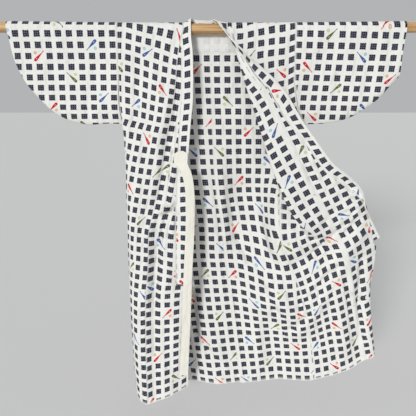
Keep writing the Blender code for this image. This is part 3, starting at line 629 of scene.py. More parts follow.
def relief_front_right(point, drop, share):
    """Crease the front at the viewer's left, less where it turns back."""
    point = folded(point, FOLDS_FRONT_RIGHT, rise(0.44, 0.72, share))
    return toward(point, right_creases(point) * rise(0.35, 0.6, share) * rise(0, 30, drop))


def low_creases(point, drop, low_amount=1.0):
    """Give the creases of the left front below its turn."""
    height = fold_height(point, CREASES_OPENED) * rise(450, 560, drop)
    return height + fold_height(point, CREASES_BACK) * rise(600, 680, drop) * low_amount


def relief_front_left(point, drop, share):
    """Crease the front at the viewer's right."""
    low = rise(520, 600, drop)
    point = folded(point, FOLDS_OPENED, low)
    amount = rise(0, 0.1, share) + (1 - rise(0, 0.1, share)) * rise(600, 680, drop)
    height = flap_creases(point) * rise(0, 30, drop) * (1 - low) + low_creases(point, drop)
    return toward(point, height * amount)


def relief_okumi_right(point, drop, share):
    """Crease the overlap strip at the viewer's left."""
    point = folded(point, FOLDS_FRONT_RIGHT, 1 - share ** 3)
    return toward(point, right_creases(point) * rise(OKUMI_TIP_RIGHT, 90, drop))


def relief_okumi_left(point, drop, share):
    """Crease the overlap strip at the viewer's right, and tuck its low edge back."""
    low = rise(520, 600, drop)
    point = folded(point, FOLDS_OPENED, low * (1 - share ** 3))
    if drop > 662:
        tucked = rise(662, 993, drop) * rise(0.72, 1.0, share)
        point = point + Vector((-22, 52, 4)) * tucked
    return toward(point, flap_creases(point) * (1 - low) + low_creases(point, drop, 1 - share))


# The body's rows

def half_back_line(drop, inward, tables, turned, length, flat, thirds):
    """List the points of one half of the back, side to centre seam."""
    armhole, side, sags = tables
    start = place(armhole if drop <= ARMHOLE else side, drop)
    end = place(CENTRE_BACK, drop)
    sag = read(sags, drop)[::inward]
    around = (start - turned).normalized()
    shut = rise(170, ARMHOLE, drop)
    near = start + Vector((inward, 0, 0)).lerp(around, shut).normalized() * length
    outer = start.lerp(end, thirds[0])
    outer.y = flat + sag[0]
    inner = start.lerp(end, thirds[1])
    inner.y = flat * 0.4 + end.y * 0.6 + sag[1]
    lean = 0.3 * rise(300, 450, drop) * (1 - rise(520, 660, drop))
    return [start, near, outer, inner, end - Vector((1, lean, 0)) * 18 * inward, end]


def back_right_line(drop):
    """List the back's points at the viewer's left, side to centre seam."""
    wider = rise(ARMHOLE, 420, drop)
    turned = place(ROLL_BACK_RIGHT, max(drop, ARMHOLE))
    tables = (ARMHOLE_BACK_RIGHT, SIDE_RIGHT, BACK_SAG_RIGHT)
    return half_back_line(
        drop, 1, tables, turned, 11 + 6 * wider, 14.5 + 3 * wider, (0.36, 0.68))


def back_left_line(drop):
    """List the back's points at the viewer's right, side to centre seam."""
    turned = front_left_line(max(drop, ARMHOLE))[1]
    tables = (ARMHOLE_BACK_LEFT, SIDE_LEFT, BACK_SAG_LEFT)
    length = 10 + 5 * rise(ARMHOLE, 420, drop)
    flat = 14.5 - 0.5 * rise(560, HEM, drop)
    return half_back_line(drop, -1, tables, turned, length, flat, (0.33, 0.67))


def front_right_line(drop):
    """List the front's points at the viewer's left, side to overlap seam."""
    lines = [FRONT_SIDE_RIGHT, ROLL_BACK_RIGHT, SILHOUETTE_RIGHT]
    lines += [ROLL_FRONT_RIGHT, MIDDLE_RIGHT, OKUMI_SEAM_RIGHT]
    return [place(line, drop) for line in lines]


def front_left_line(drop):
    """List the points of the folded front at one drop, side to overlap seam."""
    side = place(FRONT_SIDE_LEFT, drop)
    back_fold = place(BACK_FOLD_LEFT, drop)
    front_fold = place(FRONT_FOLD_LEFT, drop)
    seam = place(OKUMI_SEAM_LEFT, drop)
    deep = rise(215, 300, drop) * (1 - rise(470, 530, drop))
    turned = rise(10, 60, drop) * (1 - rise(500, 560, drop))
    g1 = side.lerp(back_fold, 0.5).lerp(back_fold + Vector((-6, 5.5, 0)), deep)
    g2 = back_fold.lerp(front_fold, 0.15)
    g2 = g2.lerp(back_fold + Vector((-6, -5, -1)), deep)
    f1 = back_fold.lerp(front_fold, 0.85)
    f1 = f1.lerp(front_fold + Vector((5, 5, 1)), turned)
    f2 = front_fold.lerp(seam, 0.2)
    f2 = f2.lerp(front_fold + Vector((3.5, -4.5, 1)), turned)
    return [
        side, g1, back_fold, g2, g2.lerp(f1, 1 / 3), g2.lerp(f1, 2 / 3),
        f1, front_fold, f2, f2.lerp(seam, 1 / 3), f2.lerp(seam, 2 / 3), seam,
    ]


# Cloth shells

class Sheet:
    """Rows of points of one piece of cloth, with their places on the print."""

    def __init__(self, downward=False):
        self.downward = downward
        self.points = []
        self.faces = []
        self.places = []
        self.plain = []
        self.thick = []
        self.twins = {}
        self.last = None

    def add_row(self, row, places, plain, thick=1.0, loose=False):
        """Add a row, joined to the last one unless loose, and return its numbers."""
        base = len(self.points)
        self.points += row
        self.places += places
        self.plain += plain
        self.thick += thick if isinstance(thick, list) else [thick] * len(row)
        numbers = list(range(base, base + len(row)))
        if self.last and not loose:
            self.join_rows(numbers, self.last)
        self.last = numbers
        return numbers

    def join_rows(self, upper, lower):
        """Fill the strip between two rows with faces."""
        if self.downward:
            upper, lower = lower, upper
        for a, a_next, b, b_next in zip(upper, upper[1:], lower, lower[1:]):
            self.faces.append((a, b, b_next, a_next))


def pull_in(row, start, end, gap=SEAM_GAP / 2):
    """Shorten a row of points by half a seam gap at its ends."""
    row = [p.copy() for p in row]
    if start:
        row[0] += (row[1] - row[0]).normalized() * gap
    if end:
        row[-1] += (row[-2] - row[-1]).normalized() * gap
    return row


def side_gap(drop):
    """Give half the side seam's gap, wider at the foot of the armhole."""
    return SEAM_GAP / 2 + 0.7 * (1 - rise(ARMHOLE, 290, drop))


def edge_plain(lengths, start, end, drop=0.0):
    """Say which points of a row lie in the plain edges at seams and hem."""
    found = []
    for length in lengths:
        near = rise(HEM - 6, HEM - 3, drop)
        if start:
            near = max(near, 1 - rise(start * 0.5, start * 1.5, length))
        if end:
            near = max(near, 1 - rise(end * 0.5, end * 1.5, lengths[-1] - length))
        found.append(near)
    return found


def shell(name, sheet, thickness):
    """Make one closed thin body of a sheet, with its print map."""
    twins = sheet.twins
    guide = bmesh.new()
    kept = [i for i in range(len(sheet.points)) if i not in twins]
    verts = [guide.verts.new(sheet.points[i]) for i in kept]
    number = {old: new for new, old in enumerate(kept)}
    for twin, first in twins.items():
        number[twin] = number[first]
    for face in sheet.faces:
        guide.faces.new([verts[number[i]] for i in face])
    guide.normal_update()
    guide.verts.index_update()
    count = len(verts)
    half = [thickness / MM / 2 * sheet.thick[i] for i in kept]
    points = [(v.co + v.normal * h) * MM for v, h in zip(verts, half)]
    points += [(v.co - v.normal * h) * MM for v, h in zip(verts, half)]
    marks = list(sheet.faces)
    faces = [tuple(number[i] for i in face) for face in sheet.faces]
    marks += [face[::-1] for face in sheet.faces]
    faces += [tuple(number[i] + count for i in reversed(face)) for face in sheet.faces]
    rim_from = len(faces)
    for edge in guide.edges:
        if len(edge.link_faces) == 1:
            loop = [lp for lp in edge.link_faces[0].loops if lp.edge == edge][0]
            a = loop.vert.index
            b = loop.link_loop_next.vert.index
            faces.append((b, a, a + count, b + count))
            marks.append((kept[b], kept[a], kept[a], kept[b]))
    guide.free()
    mesh = bpy.data.meshes.new(name)
    mesh.from_pydata(points, [], faces)
    corners = [place * MM for mark in marks for i in mark for place in sheet.places[i]]
    mesh.uv_layers.new(name="print").data.foreach_set("uv", corners)
    plain = mesh.attributes.new("plain", "FLOAT", "POINT")
    plain.data.foreach_set("value", [sheet.plain[i] for i in kept] * 2)
    mesh.polygons.foreach_set("use_smooth", [True] * len(mesh.polygons))
    mesh.update()
    rim = set()
    for polygon in mesh.polygons[rim_from:]:
        rim.update(polygon.edge_keys)
    for edge in mesh.edges:
        if edge.key in rim:
            edge.use_edge_sharp = True
    thing = bpy.data.objects.new(name, mesh)
    bpy.context.scene.collection.objects.link(thing)
    return thing


def dress(thing, material, node):
    """Give a cloth piece its material, hang it under the root and hide the imported part of
    this name.
    """
    thing.data.materials.append(material)
    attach(thing, "root")
    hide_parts(node)


def deselect():
    """Start an operator with nothing selected."""
    for thing in bpy.context.selected_objects:
        thing.select_set(False)


# Materials

class Wire:
    """What a material's node gives, joined to others by arithmetic."""

    def __init__(self, wires, socket):
        self.wires = wires
        self.socket = socket

    def __add__(self, other):
        return self.wires.math("ADD", self, other)

    def __sub__(self, other):
        return self.wires.math("SUBTRACT", self, other)

    def __rsub__(self, other):
        return self.wires.math("SUBTRACT", other, self)

    def __mul__(self, other):
        return self.wires.math("MULTIPLY", self, other)

    def __truediv__(self, other):
        return self.wires.math("DIVIDE", self, other)

    def __mod__(self, other):
        return self.wires.math("FLOORED_MODULO", self, other)

    def __abs__(self):
        return self.wires.math("ABSOLUTE", self)

    def __floor__(self):
        return self.wires.math("FLOOR", self)


class Wires:
    """Short ways to place and join a material's nodes."""

    def __init__(self, name):
        self.material = bpy.data.materials.new(name)
        self.material.use_nodes = True
        self.nodes = self.material.node_tree.nodes
        self.links = self.material.node_tree.links
        self.shader = self.nodes["Principled BSDF"]

    def feed(self, socket, value):
        """Join a socket to a wire, or set its number or colour."""
        if isinstance(value, Wire):
            self.links.new(value.socket, socket)
        else:
            socket.default_value = value

    def math(self, operation, *values):
        """Place a Math node."""
        node = self.nodes.new("ShaderNodeMath")
        node.operation = operation
        for socket, value in zip(node.inputs, values):
            self.feed(socket, value)
        return Wire(self, node.outputs[0])

    def same(self, value, number):
        """Give 1 where a whole value is this number, and else 0."""
        return self.math("COMPARE", value, number, 0.5)

    def ramp(self, value, low, high, to_low=0.0, to_high=1.0):
        """Go smoothly between two values."""
        node = self.nodes.new("ShaderNodeMapRange")
        node.interpolation_type = "SMOOTHSTEP"
        for socket, number in zip(node.inputs, (value, low, high, to_low, to_high)):
            self.feed(socket, number)
        return Wire(self, node.outputs[0])

    def mix(self, factor, a, b):
        """Mix two colours."""
        node = self.nodes.new("ShaderNodeMix")
        node.data_type = "RGBA"
        node.clamp_factor = True
        self.feed(node.inputs[0], factor)
        for socket, colour in zip(node.inputs[6:8], (a, b)):
            self.feed(socket, colour if isinstance(colour, Wire) else solid(colour))
        return Wire(self, node.outputs[2])

    def scaled(self, vector, *scale):
        """Scale a place by three amounts."""
        node = self.nodes.new("ShaderNodeMapping")
        self.feed(node.inputs["Vector"], vector)
        node.inputs["Scale"].default_value = scale
        return Wire(self, node.outputs[0])

    def noise(self, vector, scale, detail):
        """Place a noise texture and give its value."""
        node = self.nodes.new("ShaderNodeTexNoise")
        self.feed(node.inputs["Vector"], vector)
        node.inputs["Scale"].default_value = scale
        node.inputs["Detail"].default_value = detail
        return Wire(self, node.outputs[0])

    def bump(self, height, distance, strength):
        """Join a height to the shader's normal."""
        node = self.nodes.new("ShaderNodeBump")
        node.inputs["Strength"].default_value = strength
        node.inputs["Distance"].default_value = distance
        self.feed(node.inputs["Height"], height)
        self.links.new(node.outputs[0], self.shader.inputs["Normal"])


def solid(colour):
    """Give a colour its fourth number."""
    return (colour[0], colour[1], colour[2], 1.0)


def shaded(colour):
    """Give the duller tone of a plain cloth."""
    return tuple(part * 0.86 for part in colour)


def print_places(wires):
    """Give the print map, and its places across and along the cloth in metres."""
    layer = wires.nodes.new("ShaderNodeUVMap")
    layer.uv_map = "print"
    split = wires.nodes.new("ShaderNodeSeparateXYZ")
    wires.links.new(layer.outputs[0], split.inputs[0])
    return [Wire(wires, s) for s in (layer.outputs[0], split.outputs[0], split.outputs[1])]


def finish_cloth(wires, layer, u, v, threads):
    """Set the dull, woven and crumpled surface of cotton, threads this far apart."""
    shader = wires.shader
    shader.inputs["Roughness"].default_value = 0.92
    shader.inputs["Specular IOR Level"].default_value = 0.15
    shader.inputs["Sheen Weight"].default_value = 0.03
    shader.inputs["Sheen Roughness"].default_value = 0.5
    turn = 2 * math.pi / threads
    weave = wires.math("SINE", u * turn) * wires.math("SINE", v * turn)
    crumple = wires.noise(layer, 34.0, 4.0) * 0.0048
    rumple = wires.noise(wires.scaled(layer, 26.0, 9.0, 1.0), 1.0, 3.0) * 0.012
    wires.bump(weave * 0.00007 + crumple + rumple, 1.0, 1.0)


def checked_block(wires, layer, in_x, in_y, share):
    """Print one block with two pale lines each way and edges ragged by threads."""
    slip_u = (wires.noise(wires.scaled(layer, 60, 1500, 1), 1.0, 1.0) - 0.5) * 0.16
    slip_v = (wires.noise(wires.scaled(layer, 1500, 60, 1), 1.0, 1.0) - 0.5) * 0.16
    ragged_x = abs(in_x + slip_u)
    ragged_y = abs(in_y + slip_v)
    edge = wires.math("MAXIMUM", ragged_x, ragged_y)
    block = wires.ramp(edge, share / 2 - 0.012, share / 2 + 0.012, 1.0, 0.0)
    line = wires.math("MINIMUM", abs(ragged_x - share / 6), abs(ragged_y - share / 6))
    uneven = wires.ramp(wires.noise(layer, 420.0, 2.0), 0.3, 0.7, 0.975, 1.0)
    return block * wires.ramp(line, 0.004, 0.016, 0.70, 1.0) * uneven


def small_bat(wires, at_x, at_y):
    """Print a bat from corner to corner of its repeat, and a pale streak on it."""
    along = (at_x + at_y) * math.sqrt(0.5)
    across = abs((at_x - at_y) * math.sqrt(0.5))
    width = wires.ramp(along, -0.50, 0.40, 0.032, 0.142)
    width = width * wires.ramp(along, 0.54, 0.68, 1.0, 0.0)
    width = width + wires.ramp(along, -0.66, -0.60, 0.035, 0.0)
    bat = wires.ramp(across - width, -0.018, 0.018, 1.0, 0.0)
    bat = bat * wires.math("GREATER_THAN", along, -0.69)
    streak = wires.ramp(abs(along - 0.34), 0.05, 0.09, 1.0, 0.0)
    return bat, streak * wires.ramp(across, 0.012, 0.035, 1.0, 0.0) * 0.75


def small_ball(wires, at_x, at_y):
    """Print a ball beside the bat, and its paler middle."""
    off_x = at_x - 0.33
    off_y = at_y + 0.30
    reach = wires.math("SQRT", off_x * off_x + off_y * off_y)
    return (
        wires.ramp(reach, 0.135, 0.165, 1.0, 0.0),
        wires.ramp(reach, 0.05, 0.10, 0.5, 0.0))


def print_material(name, cloth, ground, strength=1.0):
    """Cotton with checked blocks, and here and there a bat and a ball."""
    wires = Wires(name)
    layer, u, v = print_places(wires)
    x = u / cloth.pitch
    y = v / cloth.pitch
    cell_x = math.floor(x + 0.5)
    cell_y = math.floor(y + 0.5)
    in_x = x - cell_x
    in_y = y - cell_y
    picked = wires.same((cell_x + cell_y * 5.0) % 13.0, 0.0)
    block = checked_block(wires, layer, in_x, in_y, cloth.block)
    at_x = in_x * (1.0 - cell_x % 2.0 * 2.0)
    at_y = in_y * (1.0 - cell_y % 2.0 * 2.0)
    bat, streak = small_bat(wires, at_x, at_y)
    ball, middle = small_ball(wires, at_x, at_y)
    kind = (cell_x + cell_y) % 3.0
    is_red = wires.same(kind, 0.0)
    is_blue = wires.same(kind, 1.0)
    bat_dye = wires.mix(is_red, wires.mix(is_blue, cloth.olive, cloth.blue), cloth.red)
    ball_dye = wires.mix(is_red, wires.mix(is_blue, cloth.lime, cloth.sky), cloth.orange)
    fade = wires.ramp(wires.noise(layer, 9.0, 3.0), 0.3, 0.7, 0.0, 0.10)
    plain = wires.nodes.new("ShaderNodeAttribute")
    plain.attribute_name = "plain"
    inked = (1.0 - Wire(wires, plain.outputs["Fac"])) * strength
    colour = wires.mix(fade, ground, shaded(ground))
    colour = wires.mix(block * (1.0 - picked) * inked, colour, cloth.navy)
    colour = wires.mix(ball * picked * inked, colour, wires.mix(middle, ball_dye, ground))
    colour = wires.mix(bat * picked * inked, colour, wires.mix(streak, bat_dye, ground))
    wires.feed(wires.shader.inputs["Base Color"], colour)
    finish_cloth(wires, layer, u, v, 0.00055)
    return wires.material


def printed_cotton(cloth):
    """Give the printed cotton that most pieces share, made at its first use."""
    name = "printed_cotton"
    return bpy.data.materials.get(name) or print_material(name, cloth, cloth.ground)


def cream_cotton(cloth):
    """Undyed cotton with a plain weave and slight slubs."""
    wires = Wires("cream_cotton")
    layer, u, v = print_places(wires)
    slub = wires.noise(wires.scaled(layer, 900, 40, 1), 1.0, 2.0)
    shade = wires.ramp(slub, 0.35, 0.7, 0.0, 0.16)
    colour = wires.mix(shade, cloth.cream, shaded(cloth.cream))
    wires.feed(wires.shader.inputs["Base Color"], colour)
    finish_cloth(wires, layer, u, v, 0.0008)
    return wires.material


def rod_wood(rod):
    """Tan wood with fine grain along the rod."""
    wires = Wires("rod_wood")
    places = Wire(wires, wires.nodes.new("ShaderNodeTexCoord").outputs["Object"])
    grain = wires.noise(wires.scaled(places, 6.0, 160.0, 160.0), 1.0, 4.0)
    pores = wires.noise(wires.scaled(places, 30.0, 900.0, 900.0), 1.0, 2.0)
    lines = wires.ramp(grain, 0.35, 0.68) + wires.ramp(pores, 0.55, 0.75, 0.0, 0.35)
    colour = wires.mix(lines, rod.pale, rod.dark)
    wires.feed(wires.shader.inputs["Base Color"], colour)
    wires.feed(wires.shader.inputs["Roughness"], wires.ramp(pores, 0.3, 0.7, 0.42, 0.6))
    wires.bump(pores, 0.0001, 0.4)
    return wires.material


# Body halves

def fine_columns(counts):
    """List column places with so many steps between each two lines."""
    found = []
    for index, count in enumerate(counts):
        found += [index + i / count for i in range(count)]
    return found + [len(counts)]


def swag(drop):
    """Say how much of the swag's sag is at a drop."""
    return rise(430, 690, drop) * (1 - rise(710, 920, drop))


def hem_thick(drop):
    """Thicken the cloth where the hem is turned up."""
    return 1.0 + 0.55 * rise(HEM - 24, HEM - 20, drop)


# One half of the body: its rows and creases, its steps between the front's lines,
# the print's place across the cloth at the front's side and at the centre seam,
# how far the threads sag with the swag at the back and front, the plain edge at
# the overlap's seam, and how far the threads creep by a drop: sideways and down
# the front, then sideways and down the back
Half = namedtuple("Half", [
    "back", "back_relief", "front", "front_relief", "counts", "front_u", "back_u",
    "sag_back", "sag_front", "seam_plain", "creep"])
RIGHT_HALF = Half(
    back_right_line, relief_back_right, front_right_line, relief_front_right,
    [6, 6, 7, 11, 16], -157.2, 63, 0, 0, OVERLAP_PLAIN, [
        (0, 5, 8, 0, 5), (110, 0, 3, 2, 5), (180, -1, 3, 4, 5), (255, -2, 9, 6, 5),
        (330, -3, 12, 8, 5), (411, -4, 15, 9, 10), (493, 0, 19, 7, 11),
        (600, 0, 20, 1, 12), (993, 0, 21, 0, 13),
    ])
LEFT_HALF = Half(
    back_left_line, relief_back_left, front_left_line, relief_front_left,
    [5, 5, 5, 7, 7, 7, 6, 5, 6, 6, 6], 144.6, 351, 40, 32, 8, [
        (0, -5, 7, -2, 5), (110, -3, 5, -2, 5), (200, 0, 0, -2, 5),
        (330, 0, 0, -2, 5), (411, 0, 0, -2, 10), (993, 0, 0, -2, 13),
    ])


def back_rows(sheet, half, shoulder):
    """Lay the back's rows from the hem up to the rod."""
    centre_x = place(CENTRE_BACK, 0).x
    neck_columns = max(4, round(abs(centre_x - shoulder[-1]) / STEP))
    top = [(x - shoulder[0]) / (centre_x - shoulder[0]) for x in shoulder]
    neck = top[-1]
    top += [neck + (1 - neck) * i / neck_columns for i in range(1, neck_columns + 1)]
    last = len(top) - 1
    for drop in reversed(steps_between(0, HEM)):
        mix = rise(0, 100, drop)
        shares = [a + (i / last - a) * mix for i, a in enumerate(top)]
        line = half.back(drop)
        base = [by_share(line, s) for s in shares]
        lengths = run_lengths(base)
        row = [half.back_relief(p, drop, s) for p, s in zip(base, shares)]
        row = pull_in(row, drop >= ARMHOLE, False, side_gap(drop))
        row = pull_in(row, False, True)
        if drop == 0:
            row = [over_rod(p.x, 90) for p in row]
        total = lengths[-1]
        side, down = read(half.creep, drop)[2:]
        sag = swag(drop) * half.sag_back
        places = []
        for s in lengths:
            sunk = down + sag * (1 - rise(0.25, 1, s / total))
            places.append((half.back_u - (total - s) - side, BACK_V + drop - sunk))
        plain = edge_plain(lengths, SIDE_PLAIN, CENTRE_PLAIN, drop)
        sheet.add_row(row, places, plain, hem_thick(drop))


def shoulder_rows(sheet, half, columns, shoulder, slant):
    """Lay the rows over the rod, from the back to the front."""
    centre_x = place(CENTRE_BACK, 0).x
    first = half.front(0)
    run = run_lengths([through(first, c) for c in columns])
    wide = FRONT_WIDTH / run[-1]
    front_side, front_down, back_side, back_down = half.creep[0][1:]
    v_back = BACK_V - back_down
    for turn in OVER_TURNS:
        share = (90 - turn) / 180
        turned = rise(0, 0.6, share)
        places = []
        for x, s, lean in zip(shoulder, run, slant):
            u_back = half.back_u - abs(centre_x - x) - back_side
            u_front = half.front_u + s * wide - front_side
            v = v_back + (HEM + lean + front_down - v_back) * share
            places.append((u_back + (u_front - u_back) * turned, v))
        row = [over_rod(x, turn) for x in shoulder]
        sheet.add_row(row, places, edge_plain(run, SIDE_PLAIN, OVERLAP_PLAIN))


def front_rows(sheet, half, columns, slant):
    """Lay the front's rows from the rod down to the hem."""
    for drop in steps_between(0, HEM):
        line = half.front(drop)
        base = [through(line, c) for c in columns]
        lengths = run_lengths(base)
        total = lengths[-1]
        row = [half.front_relief(p, drop, c / columns[-1]) for p, c in zip(base, columns)]
        row = pull_in(row, drop >= ARMHOLE, False, side_gap(drop))
        row = pull_in(row, False, drop > 20)
        if drop == 0:
            row = [over_rod(p.x, -90) for p in row]
        side, down = read(half.creep, drop)[:2]
        sag = swag(drop) * half.sag_front
        fade = 1 - rise(0, SLANT_RUN, drop)
        places = []
        for s, lean in zip(lengths, slant):
            sunk = down + sag * (1 - rise(0, 0.9, s / total))
            u = half.front_u + s * FRONT_WIDTH / total - side
            places.append((u, HEM - drop + lean * fade + sunk))
        plain = edge_plain(lengths, SIDE_PLAIN, half.seam_plain, drop)
        sheet.add_row(row, places, plain, hem_thick(drop))


def slant_at_top(front, columns):
    """Say how much longer than its drop each column is near the shoulder."""
    rows = []
    for drop in steps_between(0, SLANT_RUN, 25):
        line = front(drop)
        rows.append([through(line, c) for c in columns])
    return [sum(run_lengths(column)[-1:]) - SLANT_RUN for column in zip(*rows)]


def body_panel(half):
    """Make one half of the body, one cloth over the shoulder from hem to hem."""
    sheet = Sheet()
    columns = fine_columns(half.counts)
    top = half.front(0)
    shoulder = [through(top, c).x for c in columns]
    slant = slant_at_top(half.front, columns)
    back_rows(sheet, half, shoulder)
    shoulder_rows(sheet, half, columns, shoulder, slant)
    front_rows(sheet, half, columns, slant)
    return sheet


class ROBE_OT_body(bpy.types.Operator):
    """Make the two halves of the body"""

    bl_idname = "robe.body"
    bl_label = "Body"

    def execute(self, context):
        deselect()
        cloth = context.scene.robe_cloth
        for node, half in (("body_right", RIGHT_HALF), ("body_left", LEFT_HALF)):
            thing = shell(node + "_cloth", body_panel(half), cloth.thickness)
            dress(thing, printed_cotton(cloth), node)
        return {"FINISHED"}


# Overlap strips, and what the collar and ties on them follow: the strip's lines
# and creases, its tip, the rows where the collar ends, whether its print follows
# the tuck, then the collar's free edge, its end, its wider gap and the creases
Strip = namedtuple("Strip", [
    "lines", "relief", "tip", "kink", "follow", "edges", "low_end", "wide_gap",
    "creases"])
RIGHT_STRIP = Strip(
    [OKUMI_SEAM_RIGHT, OKUMI_MIDDLE_RIGHT, OKUMI_EDGE_RIGHT], relief_okumi_right,
    OKUMI_TIP_RIGHT, [640, 646, 652], 0, COLLAR_EDGE_RIGHT, 640.0, 0, right_creases)
LEFT_STRIP = Strip(
    [OKUMI_SEAM_LEFT, OKUMI_TURN_LEFT, OKUMI_EDGE_LEFT], relief_okumi_left,
    OKUMI_TIP_LEFT, [636, 642, 650], 1, COLLAR_EDGE_LEFT, 636.0, 1.4, flap_creases)


def strip_base(strip, share, drop):
    """Give an overlap strip's point at a share of its width, without folds."""
    return through([place(line, drop) for line in strip.lines], 2 * share)


def strip_rim(strip, share, drop):
    """Give an overlap strip's point at a share of its width, with its folds."""
    return strip.relief(strip_base(strip, share, drop), drop, share)


def okumi_sheet(strip):
    """Make one overlap strip from its tip down to the hem."""
    sheet = Sheet(downward=True)
    kink = strip.kink
    drops = [d for d in steps_between(strip.tip, HEM) if all(abs(d - k) > 2.5 for k in kink)]
    shares = [i / 26 for i in range(27)]
    for drop in sorted(drops + kink):
        base = [strip_base(strip, s, drop) for s in shares]
        row = [strip.relief(p, drop, s) for p, s in zip(base, shares)]
        true = strip.follow * rise(640, 760, drop)
        lengths = [a + (b - a) * true for a, b in zip(run_lengths(base), run_lengths(row))]
        row = pull_in(row, True, False)
        places = [(s - OKUMI_PRINT, HEM - drop) for s in lengths]
        sewn = SIDE_PLAIN if drop < kink[1] else 0
        plain = edge_plain(lengths, OVERLAP_PLAIN, sewn, drop)
        sheet.add_row(row, places, plain, hem_thick(drop))
    return sheet


class ROBE_OT_overlaps(bpy.types.Operator):
    """Make the two overlap strips"""

    bl_idname = "robe.overlaps"
    bl_label = "Overlap strips"

    def execute(self, context):
        deselect()
        cloth = context.scene.robe_cloth
        thing = shell("okumi_right_cloth", okumi_sheet(RIGHT_STRIP), cloth.thickness)
        dress(thing, printed_cotton(cloth), "okumi_right")
        thing = shell("okumi_left_cloth", okumi_sheet(LEFT_STRIP), cloth.thickness)
        dress(thing, printed_cotton(cloth), "okumi_left")
        return {"FINISHED"}


# Sleeves

def even_depth(share):
    """Space rows evenly, closer together near the sleeve's foot."""
    if share < 0.8:
        return share
    return 0.8 + 0.2 * math.sin((share - 0.8) / 0.2 * math.pi / 2)


def sleeve_sheet(armhole, low, cuff, creases, marks):
    """Make one sleeve: a bag of cloth over the rod, open at body and cuff."""
    sheet = Sheet()
    low_x, low_z = zip(*low)
    sign = 1 if low_x[-1] > low_x[0] else -1
    cuff_z, cuff_x = zip(*reversed(cuff))
    corner_z = cuff[-1][0]
    top_in = armhole[0][1] + sign * SLEEVE_SEAM
    u_seam, lean, fall = marks

    def column_point(share, depth, side):
        """Give a point at a share of the way out and down, before or behind."""
        foot_x = low_x[0] + (low_x[-1] - low_x[0]) * share
        z = bend([x * sign for x in low_x], low_z, foot_x * sign) * depth
        top_x = top_in + (cuff[1][1] - top_in) * share
        x = top_x + (foot_x - top_x) * depth ** 1.5
        edge_top = top_in + (low_x[0] - top_in) * depth ** 1.5
        slack = sign * (SLEEVE_SEAM * 0.4 + 1.4 * rise(0.45, 0.75, depth))
        body_edge = place(armhole, min(ARMHOLE, -z)) + Vector((slack, 0, 0))
        x += (body_edge.x - edge_top) * (1 - share) ** 3
        end = rise(0.9, 1.0, share) ** 2
        x += (bend(cuff_z, cuff_x, corner_z * depth) - x) * end
        z += (corner_z * depth - z) * end
        shut = math.sqrt(max(0.0, 1 - ((depth - 0.86) / 0.14) ** 2)) if depth > 0.86 else 1
        half = SLEEVE_GAP + (OVER_ROD - SLEEVE_GAP) * (1 - rise(0.0, 0.4, depth))
        near = abs(body_edge.y) * (1 - rise(0.9, 1.0, depth))
        half = near + (half * shut - near) * rise(0, 0.3, share)
        point = Vector((x, side * half, z + bow(x) * (1 - depth)))
        if side:
            amount = rise(0, 0.12, depth) * rise(0, 0.06, share)
            height = fold_height(point, creases) + ripple(point, 44, 1.1, 7.7 * side)
            height += math.sin(x / 3.6) * 0.5 * rise(0.86, 0.97, depth)
            limit = 0.7 * half
            point.y += side * max(-limit, min(limit, height * amount))
        return point

    shares = [i / 54 for i in range(55)]
    depths = [even_depth(i / 46) for i in range(46)]

    def add(row, side, loose=False):
        """Add a row before or behind, with the print that runs down from the rod."""
        places = []
        for p in row:
            out = abs(p.x - armhole[0][1])
            deep = OVER_ROD * math.pi / 2 - p.z * (1 + 0.065 * (p.z / 227) ** 2)
            u = u_seam + sign * out + lean * rise(40, 210, -p.z)
            places.append((u, SLEEVE_V + side * (deep - fall * out)))
        plain = edge_plain(run_lengths(row), SIDE_PLAIN, 0)
        return sheet.add_row(row, places, plain, loose=loose)

    lowest = [column_point(s, 1.0, 0) for s in shares]
    foot = add(lowest, 1)
    sheet.twins = dict(zip(add(lowest, -1, loose=True), foot))
    for depth in reversed(depths):
        add([column_point(s, depth, 1) for s in shares], -1)
    for turn in OVER_TURNS:
        row = [over_rod(column_point(s, 0, 1).x, turn) for s in shares]
        places = []
        for p in row:
            out = abs(p.x - armhole[0][1])
            v = SLEEVE_V - OVER_ROD * math.radians(turn) + fall * out * turn / 90
            places.append((u_seam + sign * out, v))
        sheet.add_row(row, places, edge_plain(run_lengths(row), SIDE_PLAIN, 0))
    for depth in depths:
        add([column_point(s, depth, -1) for s in shares], 1)
    sheet.join_rows(foot, sheet.last)
    return sheet


class ROBE_OT_sleeves(bpy.types.Operator):
    """Make the two sleeves"""

    bl_idname = "robe.sleeves"
    bl_label = "Sleeves"

    def execute(self, context):
        deselect()
        cloth = context.scene.robe_cloth
        right = sleeve_sheet(
            ARMHOLE_BACK_RIGHT, SLEEVE_LOW_RIGHT, CUFF_RIGHT, CREASES_SLEEVE_RIGHT,
            (10.7, 3, 0))
        left = sleeve_sheet(
            ARMHOLE_BACK_LEFT, SLEEVE_LOW_LEFT, CUFF_LEFT, CREASES_SLEEVE_LEFT,
            (-9.1, 10, 0.02))
        for node, sheet in (("sleeve_right", right), ("sleeve_left", left)):
            thing = shell(node + "_cloth", sheet, cloth.thickness)
            dress(thing, printed_cotton(cloth), node)
        return {"FINISHED"}


# Collar and neck

def collar_row(rim, inner, edges, key, gap=COLLAR_SEAM_GAP):
    """Lay one row of the collar from just off a panel's rim to its free edge."""
    along = (rim - inner).normalized()
    seam = rim + along * gap
    edge = place(edges, key)
    first = seam + along * min(3.0, (edge - seam).length * 0.2)
    return [seam, first, first.lerp(edge, 0.5), edge]


def front_rim(half, share, drop):
    """Give a front's point at a share of its columns, with its folds."""
    line = half.front(drop)
    return half.front_relief(through(line, (len(line) - 1) * share), drop, share)


def lifted(row, strip, drop):
    """Move the free part of a collar row by the creases below it."""
    amount = rise(0, 60, drop)
    return row[:2] + [toward(p, strip.creases(p) * amount) for p in row[2:]]


